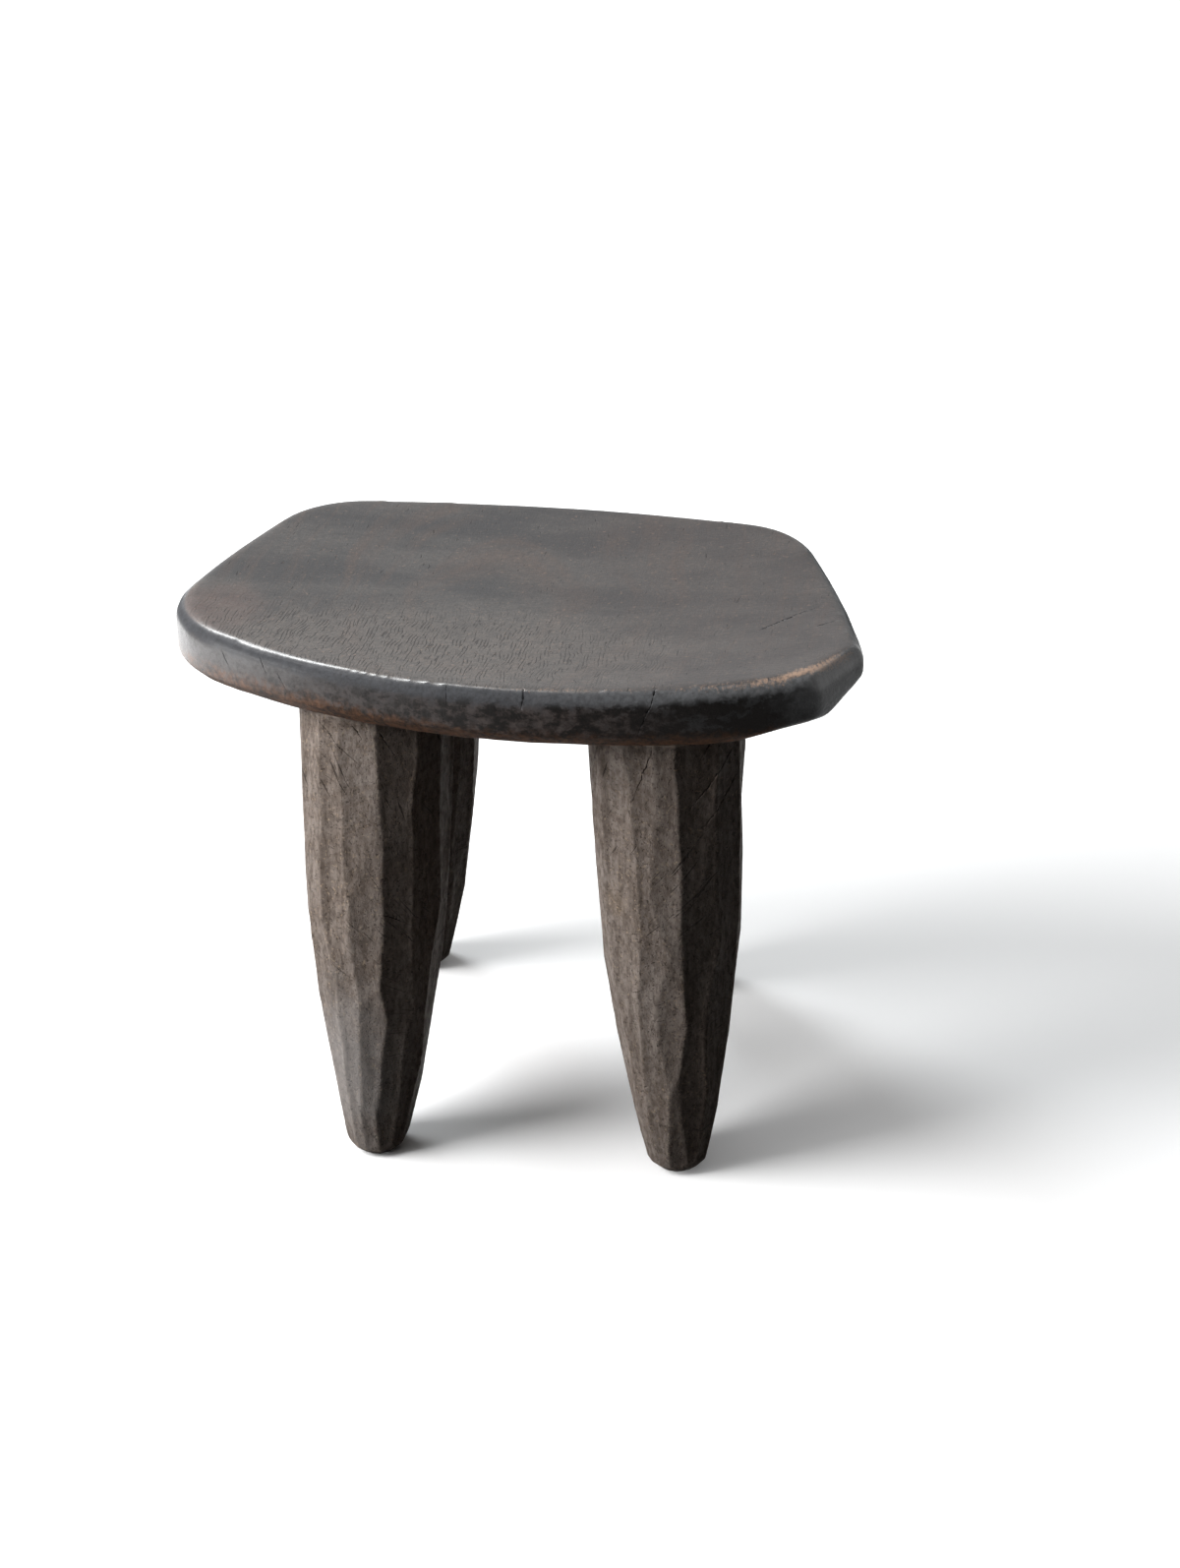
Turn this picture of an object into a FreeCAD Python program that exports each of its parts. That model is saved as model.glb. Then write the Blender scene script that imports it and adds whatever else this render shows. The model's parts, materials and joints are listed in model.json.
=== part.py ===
import FreeCAD, Part
import math
import os
import Sketcher

# Four-legged hewn wooden stool: a dished seat board on four adze-cut legs.
# Millimetres, +Z up, +X along the seat's long side, front of the seat at -Y.
# The origin is on the floor, under the middle of the seat's outline.

# Driving dimensions. Each becomes an aliased cell of the sheet "sizes".
SIZES = {
    # Seat outline: two bowed long edges, two bowed ends and four rounded corners
    "seat_width": 364.0,
    "seat_depth": 262.0,
    "back_left_reach": 159.0,
    "back_right_reach": 154.0,
    "front_left_corner": 70.0,
    "front_right_corner": 48.0,
    "back_left_corner": 58.0,
    "back_right_corner": 58.0,
    "front_bow": 350.0,
    "back_bow": 470.0,
    "left_bow": 400.0,
    "right_bow": 700.0,
    "front_bow_shift": 34.0,
    "back_bow_shift": 26.0,
    # Seat section: thickness under the lowest point of the dish, the dish, and the bevelled rims
    "seat_centre_thickness": 22.0,
    "dish_radius_across": 1500.0,
    "dish_radius_fore_aft": 910.0,
    "rim_bevel": 6.5,
    "lip_bevel": 8.0,
    # Front right corner, struck off flat with a bevel of its own above and two broad cuts below
    "corner_facet_depth": 6.0,
    "corner_facet_degrees": 26.0,
    "corner_facet_rise": 5.0,
    "corner_bevel_run": 6.0,
    "corner_bevel_rise": 9.0,
    "front_lip_degrees": 52.0,
    "front_lip_run": 20.5,
    "front_lip_rise": 12.5,
    "side_lip_degrees": 8.0,
    "side_lip_run": 24.0,
    "side_lip_rise": 17.0,
    # Legs, from the floor to the seat's underside
    "leg_length": 261.0,
    "leg_top_radius": 39.0,
    "leg_foot_radius": 14.5,
    "leg_fullness": 2.6,
    "foot_flat_radius": 10.5,
    # Stub tenons on the legs and their blind sockets in the seat
    "tenon_radius": 17.0,
    "tenon_length": 16.0,
    "tenon_clearance": 0.2,
    "socket_end_gap": 0.5,
    # Where each leg meets the seat and where it stands
    "leg_front_left_top_x": -67.0,
    "leg_front_left_top_y": -66.0,
    "leg_front_left_foot_x": -73.0,
    "leg_front_left_foot_y": -98.0,
    "leg_front_right_top_x": 83.0,
    "leg_front_right_top_y": -81.0,
    "leg_front_right_foot_x": 92.0,
    "leg_front_right_foot_y": -96.0,
    "leg_rear_left_top_x": -78.0,
    "leg_rear_left_top_y": 77.0,
    "leg_rear_left_foot_x": -85.0,
    "leg_rear_left_foot_y": 97.0,
    "leg_rear_right_top_x": 72.0,
    "leg_rear_right_top_y": 70.0,
    "leg_rear_right_foot_x": 81.0,
    "leg_rear_right_foot_y": 94.0,
    # Adze work: cuts down each column of facets, and how unevenly they fall, turn and bite
    "facet_strokes": 6,
    "stroke_stagger": 0.4,
    "stroke_sway_degrees": 5.0,
    "stroke_bite": 0.8,
}

# Which way each column of facets looks, in degrees from +X.
# The rear legs repeat the front ones, half a turn on.
LEFT_COLUMNS = (-136, -112, -89, -61, -31, -3, 26, 55, 84, 113, 142, 171, 200)
RIGHT_COLUMNS = (-149, -127, -102, -85, -61, -28, 2, 33, 64, 95, 126, 157, 188)
FACET_COLUMNS = {
    "leg_front_left": LEFT_COLUMNS,
    "leg_front_right": RIGHT_COLUMNS,
    "leg_rear_left": tuple(turn + 180 for turn in RIGHT_COLUMNS),
    "leg_rear_right": tuple(turn + 180 for turn in LEFT_COLUMNS),
}
LEGS = tuple(FACET_COLUMNS)

# How far cutting shapes run past what they cut
CUT_MARGIN = 20.0

# Lengths that follow from the driving ones
BOARD_THICKNESS = (
    "sizes.seat_centre_thickness + sizes.seat_width^2 / sizes.dish_radius_across / 8"
    f" + sizes.seat_depth^2 / sizes.dish_radius_fore_aft / 8 + {CUT_MARGIN}"
)
DISH_AXIS_HEIGHT = "sizes.leg_length + sizes.seat_centre_thickness + sizes.dish_radius_fore_aft"
DISH_TOP_RADIUS = f"sizes.dish_radius_fore_aft - ({BOARD_THICKNESS})"
DISH_SWEEP = f"2 * asin((sizes.seat_depth / 2 + {CUT_MARGIN}) / ({DISH_TOP_RADIUS}))"
CORNER_X = "sizes.seat_width / 2 - sizes.front_right_corner"
CORNER_Y = (
    "sizes.front_bow - sizes.seat_depth / 2 - sqrt((sizes.front_bow - sizes.front_right_corner)^2"
    f" - ({CORNER_X} - sizes.front_bow_shift)^2)"
)

# Sketcher's numbers for the sketch origin, its vertical axis and the points of a curve
ORIGIN = (-1, 1)
V_AXIS = -2
START, END, CENTRE = 1, 2, 3
UP = FreeCAD.Vector(0, 0, 1)


def make_sheet(doc):
    """Put the driving dimensions into a spreadsheet, one aliased cell each."""
    sheet = doc.addObject("Spreadsheet::Sheet", "sizes")
    for row, (alias, value) in enumerate(SIZES.items(), start=1):
        sheet.set(f"A{row}", alias.replace("_", " "))
        sheet.set(f"B{row}", str(value))
        sheet.setAlias(f"B{row}", alias)
    doc.recompute()
    return sheet


def add_sketch(body, name, role, offset, turn_axis=UP, turn="0"):
    """Attach a sketch to one of the body's origin planes, moved and turned by expressions of cells."""
    plane = next(item for item in body.Origin.OriginFeatures if item.Role == role)
    sketch = body.newObject("Sketcher::SketchObject", name)
    sketch.AttachmentSupport = [(plane, "")]
    sketch.MapMode = "FlatFace"
    base = FreeCAD.Vector(*(sketch.evalExpression(term) for term in offset))
    rotation = FreeCAD.Rotation(turn_axis, sketch.evalExpression(turn))
    sketch.AttachmentOffset = FreeCAD.Placement(base, rotation)
    for axis, term in zip("xyz", offset):
        sketch.setExpression(f"AttachmentOffset.Base.{axis}", term)
    if turn != "0":
        sketch.setExpression("AttachmentOffset.Rotation.Angle", turn)
    return sketch


def bind(sketch, expression, kind, *where):
    """Add a dimension to a sketch, driven by an expression of cells."""
    index = sketch.addConstraint(Sketcher.Constraint(kind, *where, sketch.evalExpression(expression)))
    sketch.setExpression(f"Constraints[{index}]", expression)


def hold(sketch, geometry, point, x=None, y=None):
    """Fix a point's coordinates by expressions of cells; a leading minus puts it on the negative side."""
    for kind, expression in (("DistanceX", x), ("DistanceY", y)):
        if expression is None:
            continue
        negative = expression.startswith("-")
        ends = ((geometry, point), ORIGIN) if negative else (ORIGIN, (geometry, point))
        bind(sketch, expression.lstrip("-"), kind, *ends[0], *ends[1])


def draw_polygon(sketch, corners):
    """A closed outline of straight lines whose corners are pairs of expressions of cells."""
    points = [FreeCAD.Vector(*(sketch.evalExpression(term) for term in corner)) for corner in corners]
    for index, point in enumerate(points):
        sketch.addGeometry(Part.LineSegment(point, points[(index + 1) % len(points)]), False)
    for index, (x, y) in enumerate(corners):
        following = (index + 1) % len(points)
        sketch.addConstraint(Sketcher.Constraint("Coincident", index, END, following, START))
        hold(sketch, index, START, x, y)


def meeting_point(first, first_radius, second, second_radius):
    """Where two circles cross, taking the crossing to the left of the way from first to second."""
    way = second - first
    along = (first_radius**2 - second_radius**2 + way.Length**2) / (2 * way.Length)
    across = math.sqrt(first_radius**2 - along**2)
    ahead = way / way.Length
    return first + ahead * along + UP.cross(ahead) * across


def outline_circles(sheet):
    """Names and centres of the outline's eight arcs, counter-clockwise from the front edge."""
    half_width = sheet.seat_width / 2
    half_depth = sheet.seat_depth / 2
    front = FreeCAD.Vector(sheet.front_bow_shift, sheet.front_bow - half_depth, 0)
    back = FreeCAD.Vector(-sheet.back_bow_shift, half_depth - sheet.back_bow, 0)

    def corner(bow_centre, bow, radius, x, side):
        drop = math.sqrt((bow - radius) ** 2 - (x - bow_centre.x) ** 2)
        return FreeCAD.Vector(x, bow_centre.y + side * drop, 0)

    front_right = corner(front, sheet.front_bow, sheet.front_right_corner,
                         half_width - sheet.front_right_corner, -1)
    back_right = corner(back, sheet.back_bow, sheet.back_right_corner,
                        sheet.back_right_reach - sheet.back_right_corner, 1)
    back_left = corner(back, sheet.back_bow, sheet.back_left_corner,
                       sheet.back_left_corner - sheet.back_left_reach, 1)
    front_left = corner(front, sheet.front_bow, sheet.front_left_corner,
                        sheet.front_left_corner - half_width, -1)
    right = meeting_point(front_right, sheet.right_bow - sheet.front_right_corner,
                          back_right, sheet.right_bow - sheet.back_right_corner)
    left = meeting_point(back_left, sheet.left_bow - sheet.back_left_corner,
                         front_left, sheet.left_bow - sheet.front_left_corner)
    return {
        "front_bow": front,
        "front_right_corner": front_right,
        "right_bow": right,
        "back_right_corner": back_right,
        "back_bow": back,
        "back_left_corner": back_left,
        "left_bow": left,
        "front_left_corner": front_left,
    }


def draw_outline(sketch, sheet):
    """Eight tangent arcs, each radius and each fixed centre bound to the sheet."""
    circles = outline_circles(sheet)
    names = list(circles)
    following = dict(zip(names, names[1:] + names[:1]))
    joints = {}
    for name, centre in circles.items():
        other = following[name]
        shrinks = getattr(sheet, name) > getattr(sheet, other)
        toward = circles[other] - centre if shrinks else centre - circles[other]
        joints[name] = math.atan2(toward.y, toward.x)
    for index, (name, centre) in enumerate(circles.items()):
        begin = joints[names[index - 1]]
        sweep = (joints[name] - begin) % (2 * math.pi)
        circle = Part.Circle(centre, UP, getattr(sheet, name))
        sketch.addGeometry(Part.ArcOfCircle(circle, begin, begin + sweep), False)
    for index, name in enumerate(names):
        other = names.index(following[name])
        sketch.addConstraint(Sketcher.Constraint("Tangent", index, END, other, START))
        bind(sketch, f"sizes.{name}", "Radius", index)
    centres = {
        "front_bow": ("sizes.front_bow_shift", "sizes.front_bow - sizes.seat_depth / 2"),
        "back_bow": ("-sizes.back_bow_shift", "-(sizes.back_bow - sizes.seat_depth / 2)"),
        "front_right_corner": (CORNER_X, None),
        "front_left_corner": ("-(sizes.seat_width / 2 - sizes.front_left_corner)", None),
        "back_right_corner": ("sizes.back_right_reach - sizes.back_right_corner", None),
        "back_left_corner": ("-(sizes.back_left_reach - sizes.back_left_corner)", None),
    }
    for name, (x, y) in centres.items():
        hold(sketch, names.index(name), CENTRE, x, y)


def draw_dish(sketch, sheet):
    """The dish's section across the seat, closed above the board, with the turning axis as sketch X."""
    reach = f"sizes.seat_width / 2 + {CUT_MARGIN}"
    half = sketch.evalExpression(reach)
    top = -sketch.evalExpression(DISH_TOP_RADIUS)
    radius = sheet.dish_radius_across
    centre = FreeCAD.Vector(0, radius - sheet.dish_radius_fore_aft, 0)
    edge = centre.y - math.sqrt(radius**2 - half**2)
    lean = math.asin(half / radius)
    down = 1.5 * math.pi
    sketch.addGeometry(Part.ArcOfCircle(Part.Circle(centre, UP, radius), down - lean, down + lean), False)
    corners = [FreeCAD.Vector(x, y, 0) for x, y in ((half, edge), (half, top), (-half, top), (-half, edge))]
    for begin, finish in zip(corners, corners[1:]):
        sketch.addGeometry(Part.LineSegment(begin, finish), False)
    arc, right, upper, left = range(4)
    for curve, following in ((arc, right), (right, upper), (upper, left), (left, arc)):
        sketch.addConstraint(Sketcher.Constraint("Coincident", curve, END, following, START))
    sketch.addConstraint(Sketcher.Constraint("Vertical", right))
    sketch.addConstraint(Sketcher.Constraint("Vertical", left))
    sketch.addConstraint(Sketcher.Constraint("Symmetric", upper, START, upper, END, V_AXIS))
    sketch.addConstraint(Sketcher.Constraint("PointOnObject", arc, CENTRE, V_AXIS))
    bind(sketch, "sizes.dish_radius_across", "Radius", arc)
    hold(sketch, arc, CENTRE, y="sizes.dish_radius_across - sizes.dish_radius_fore_aft")
    hold(sketch, upper, START, reach, f"-({DISH_TOP_RADIUS})")


def draw_facet(sketch, name):
    """What is struck off beyond the corner's flat face and the bevel above it."""
    face = f"sizes.front_right_corner - sizes.{name}_depth"
    facet_top = f"sizes.leg_length + sizes.seat_centre_thickness + sizes.{name}_rise"
    board_top = f"sizes.leg_length + {BOARD_THICKNESS}"
    far = f"sizes.front_right_corner + {CUT_MARGIN}"
    draw_polygon(sketch, [
        (face, "sizes.leg_length"),
        (far, "sizes.leg_length"),
        (far, board_top),
        (f"{face} - sizes.corner_bevel_run", board_top),
        (f"{face} - sizes.corner_bevel_run", f"{facet_top} + sizes.corner_bevel_rise"),
        (face, facet_top),
    ])


def draw_lip(sketch, name):
    """A broad slanting cut under the corner, from the underside up to the corner's arc."""
    draw_polygon(sketch, [
        (f"sizes.front_right_corner - sizes.{name}_run", "sizes.leg_length"),
        (f"sizes.front_right_corner + sizes.{name}_run", "sizes.leg_length"),
        (f"sizes.front_right_corner + sizes.{name}_run", f"sizes.leg_length + 2 * sizes.{name}_rise"),
    ])


def draw_sockets(sketch, sheet):
    """One circle for each leg's socket, placed where the leg meets the seat."""
    for index, leg in enumerate(LEGS):
        x = getattr(sheet, f"{leg}_top_x")
        y = getattr(sheet, f"{leg}_top_y")
        sketch.addGeometry(Part.Circle(FreeCAD.Vector(x, y, 0), UP, sheet.tenon_radius), False)
        bind(sketch, "sizes.tenon_radius + sizes.tenon_clearance", "Radius", index)
        hold(sketch, index, CENTRE, f"sizes.{leg}_top_x", f"sizes.{leg}_top_y")


def bevel(body, name, base, face):
    """Chamfer all round one face of the last feature, by the size in the cell of the same name."""
    ring = face.OuterWire.Edges
    edges = [f"Edge{index}" for index, edge in enumerate(base.Shape.Edges, start=1)
             if any(edge.isSame(other) for other in ring)]
    feature = body.newObject("PartDesign::Chamfer", name)
    feature.Base = (base, edges)
    feature.setExpression("Size", f"sizes.{name}")
    body.Document.recompute()
    return feature


def cut(body, kind, name, sketch, **settings):
    """Add a Pocket or Groove and make sure that it took something away."""
    before = body.Shape.Volume
    feature = body.newObject(f"PartDesign::{kind}", name)
    feature.Profile = sketch
    for key, value in settings.items():
        if isinstance(value, str):
            feature.setExpression(key, value)
        else:
            setattr(feature, key, value)
    body.Document.recompute()
    if body.Shape.Volume >= before:
        raise RuntimeError(f"{name} cut nothing")
    return feature


def strike_corner(body, name, draw):
    """Cut along the front right corner: sketch X points out of the corner's arc, sketch Y is height."""
    waste = add_sketch(body, f"{name}_waste", "XZ_Plane", (CORNER_X, "0", f"-({CORNER_Y})"),
                       FreeCAD.Vector(0, 1, 0), f"-sizes.{name}_degrees")
    draw(waste, name)
    cut(body, "Pocket", name, waste, Midplane=True, Length="2 * sizes.seat_depth")


def make_seat(doc, sheet):
    """The board: padded outline, turned dish, bevelled rims, struck corner and blind sockets."""
    body = doc.addObject("PartDesign::Body", "seat")
    underside = ("0", "0", "sizes.leg_length")

    outline = add_sketch(body, "seat_outline", "XY_Plane", underside)
    draw_outline(outline, sheet)
    board = body.newObject("PartDesign::Pad", "seat_board")
    board.Profile = outline
    board.setExpression("Length", BOARD_THICKNESS)
    doc.recompute()

    section = add_sketch(body, "dish_section", "XZ_Plane", ("0", DISH_AXIS_HEIGHT, "0"))
    draw_dish(section, sheet)
    dish = cut(body, "Groove", "seat_dish", section, ReferenceAxis=(section, ["H_Axis"]),
               Midplane=True, Angle=DISH_SWEEP)
    curved = [face for face in dish.Shape.Faces if not isinstance(face.Surface, Part.Plane)]
    rim = bevel(body, "rim_bevel", dish, max(curved, key=lambda face: face.Area))
    lowest = min(rim.Shape.Faces, key=lambda face: face.BoundBox.ZMax)
    bevel(body, "lip_bevel", rim, lowest)

    strike_corner(body, "corner_facet", draw_facet)
    strike_corner(body, "front_lip", draw_lip)
    strike_corner(body, "side_lip", draw_lip)

    plan = add_sketch(body, "socket_plan", "XY_Plane", underside)
    draw_sockets(plan, sheet)
    cut(body, "Pocket", "leg_sockets", plan, Reversed=True,
        Length="sizes.tenon_length + sizes.socket_end_gap")
    return body


def unevenness(*marks):
    """A repeatable value from -1 to 1 that stands for the unevenness of handwork."""
    seed = sum(weight * (mark + 1) for weight, mark in zip((12.9898, 78.233, 37.719), marks))
    return 2 * ((math.sin(seed) * 43758.5453) % 1) - 1


def leg_radius(sheet, share):
    """Leg radius and its slope at a share of the leg's length, bullet-shaped from foot to seat."""
    growth = sheet.leg_top_radius - sheet.leg_foot_radius
    radius = sheet.leg_foot_radius + growth * (1 - (1 - share) ** sheet.leg_fullness)
    slope = growth * sheet.leg_fullness * (1 - share) ** (sheet.leg_fullness - 1) / sheet.leg_length
    return radius, slope


def compass(degrees):
    """The level direction at an angle from +X."""
    return FreeCAD.Vector(math.cos(math.radians(degrees)), math.sin(math.radians(degrees)), 0)


def hew(solid, point, outward, reach):
    """Strike off everything beyond the plane through a point."""
    chip = Part.makeBox(2 * reach, 2 * reach, reach, FreeCAD.Vector(-reach, -reach, 0))
    chip.Placement = FreeCAD.Placement(point, FreeCAD.Rotation(UP, outward))
    return solid.cut(chip)


def hewn_leg(sheet, leg):
    """The leg below the seat: a block cut by columns of uneven adze strokes down to a blunt foot."""
    length = sheet.leg_length
    number = LEGS.index(leg)
    top = FreeCAD.Vector(getattr(sheet, f"{leg}_top_x"), getattr(sheet, f"{leg}_top_y"), length)
    foot = FreeCAD.Vector(getattr(sheet, f"{leg}_foot_x"), getattr(sheet, f"{leg}_foot_y"), 0)
    lean = (top - foot) / length
    side = 4 * sheet.leg_top_radius
    corner = (top + foot) / 2 - FreeCAD.Vector(side / 2, side / 2, length / 2)
    solid = Part.makeBox(side, side, length, corner)
    strokes = int(sheet.facet_strokes)
    for column, column_turn in enumerate(FACET_COLUMNS[leg]):
        for stroke in range(strokes):
            share = (stroke + 0.5 + sheet.stroke_stagger * unevenness(number, column, stroke)) / strokes
            radius, slope = leg_radius(sheet, share)
            radius += sheet.stroke_bite * unevenness(number, stroke, column)
            out = compass(column_turn + sheet.stroke_sway_degrees * unevenness(stroke, number, column))
            point = foot + lean * (share * length) + out * radius
            solid = hew(solid, point, out - UP * (slope + lean.dot(out)), 2 * length)
        out = compass(column_turn)
        solid = hew(solid, foot + out * sheet.foot_flat_radius, out - UP, 2 * length)
    return solid


def make_leg(doc, sheet, leg):
    """A hewn leg with its round stub tenon standing on the shoulder."""
    hewn = doc.addObject("Part::Feature", f"{leg}_hewn")
    hewn.Shape = hewn_leg(sheet, leg)
    tenon = doc.addObject("Part::Cylinder", f"{leg}_tenon")
    tenon.setExpression("Radius", "sizes.tenon_radius")
    tenon.setExpression("Height", "sizes.tenon_length")
    tenon.setExpression("Placement.Base.x", f"sizes.{leg}_top_x")
    tenon.setExpression("Placement.Base.y", f"sizes.{leg}_top_y")
    tenon.setExpression("Placement.Base.z", "sizes.leg_length")
    joined = doc.addObject("Part::Fuse", leg)
    joined.Base = hewn
    joined.Tool = tenon
    return joined


def check(doc, nodes):
    """Stop unless every object computed and every node is one sound solid."""
    failed = [item.Name for item in doc.Objects if {"Invalid", "Error"} & set(item.State)]
    if failed:
        raise RuntimeError(f"failed objects: {failed}")
    for node in nodes:
        shape = node.Shape
        if shape.isNull() or not shape.isValid() or len(shape.Solids) != 1:
            raise RuntimeError(f"{node.Label} is not one valid solid")


def main():
    """Model the stool, check it and write one STEP file for each piece."""
    doc = FreeCAD.newDocument("stool")
    sheet = make_sheet(doc)
    nodes = [make_seat(doc, sheet)]
    nodes += [make_leg(doc, sheet, leg) for leg in LEGS]
    doc.recompute()
    check(doc, nodes)
    os.makedirs("parts", exist_ok=True)
    for node in nodes:
        node.Label = node.Name
        node.Shape.exportStep(f"parts/{node.Label}.step")
        box = node.Shape.BoundBox
        print(f"{node.Label}: {box.XLength:.1f} x {box.YLength:.1f} x {box.ZLength:.1f} mm, "
              f"{node.Shape.Volume / 1000:.0f} cm3, {len(node.Shape.Faces)} faces")


main()
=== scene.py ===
"""Looks of the hewn stool: worn, smoke-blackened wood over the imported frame, in a pale studio."""

import json
import logging
import math
from contextlib import contextmanager
from dataclasses import dataclass
from enum import Enum
from typing import Any, Callable, ClassVar, Iterator, Optional, Sequence, Union

import bmesh
import bpy
import numpy as np
from mathutils import Matrix, Vector, noise

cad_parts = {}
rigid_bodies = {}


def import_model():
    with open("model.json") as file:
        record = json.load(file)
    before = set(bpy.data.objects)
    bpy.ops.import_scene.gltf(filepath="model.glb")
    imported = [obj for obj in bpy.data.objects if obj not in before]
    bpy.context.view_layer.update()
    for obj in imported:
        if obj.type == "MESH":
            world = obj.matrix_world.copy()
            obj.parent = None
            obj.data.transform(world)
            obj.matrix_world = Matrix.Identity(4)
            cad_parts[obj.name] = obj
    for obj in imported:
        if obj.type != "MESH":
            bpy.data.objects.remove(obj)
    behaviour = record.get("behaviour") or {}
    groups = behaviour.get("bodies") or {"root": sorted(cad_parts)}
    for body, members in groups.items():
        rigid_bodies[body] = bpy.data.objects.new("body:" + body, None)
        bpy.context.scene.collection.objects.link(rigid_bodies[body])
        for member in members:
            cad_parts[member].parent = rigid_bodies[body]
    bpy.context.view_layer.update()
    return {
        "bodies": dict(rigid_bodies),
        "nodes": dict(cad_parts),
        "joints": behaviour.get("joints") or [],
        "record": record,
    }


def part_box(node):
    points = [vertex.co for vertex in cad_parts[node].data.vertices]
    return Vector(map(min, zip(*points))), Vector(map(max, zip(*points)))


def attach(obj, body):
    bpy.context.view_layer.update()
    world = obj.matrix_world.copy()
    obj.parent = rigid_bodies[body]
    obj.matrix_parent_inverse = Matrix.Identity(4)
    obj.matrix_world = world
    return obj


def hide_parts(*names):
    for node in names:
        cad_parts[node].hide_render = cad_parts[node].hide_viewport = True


LOG = logging.getLogger("stool")
BODY = "root"
MM = 0.001

Pair = tuple[float, float]
Triple = tuple[float, float, float]
Limits = tuple[float, ...]
Socket = bpy.types.NodeSocket
Entry = bpy.types.NodeOutputs
Value = Union[Socket, float, Sequence[float]]


@contextmanager
def changing(mesh: bpy.types.Mesh) -> Iterator[bmesh.types.BMesh]:
    """Open a mesh for changes and write them back.

    Args:
        mesh: the mesh

    Yields:
        its working copy
    """
    bm = bmesh.new()
    bm.from_mesh(mesh)
    yield bm
    bm.to_mesh(mesh)
    bm.free()


def put(name: str, data: bpy.types.ID) -> bpy.types.Object:
    """Put a new object in the scene.

    Args:
        name: the object's name
        data: its mesh, light or camera

    Returns:
        the object
    """
    item = bpy.data.objects.new(name, data)
    bpy.context.scene.collection.objects.link(item)
    return item


def empty_tree(owner: Union[bpy.types.Material, bpy.types.World]) -> bpy.types.NodeTree:
    """Start the nodes of a material or a world.

    Args:
        owner: the material or the world

    Returns:
        its node tree, emptied
    """
    owner.use_nodes = True
    owner.node_tree.nodes.clear()
    return owner.node_tree


class Face(Enum):
    """The side that a check opens on: its two drawing axes and the way that it looks."""

    FRONT = (0, 2, Vector((0.0, -1.0, 0.0)))
    TOP = (0, 1, Vector((0.0, 0.0, 1.0)))

    @property
    def out(self) -> Vector:
        """The way that this side looks."""
        return self.value[2]

    def point(self, pair: Vector) -> Vector:
        """Take drawing coordinates to the model.

        Args:
            pair: the drawing coordinates

        Returns:
            the point of the model
        """
        place = Vector((0.0, 0.0, 0.0))
        place[self.value[0]] = pair[0]
        place[self.value[1]] = pair[1]
        return place

    def pair(self, place: Vector) -> Vector:
        """A point of the model as drawing coordinates."""
        return Vector((place[self.value[0]], place[self.value[1]]))


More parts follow.
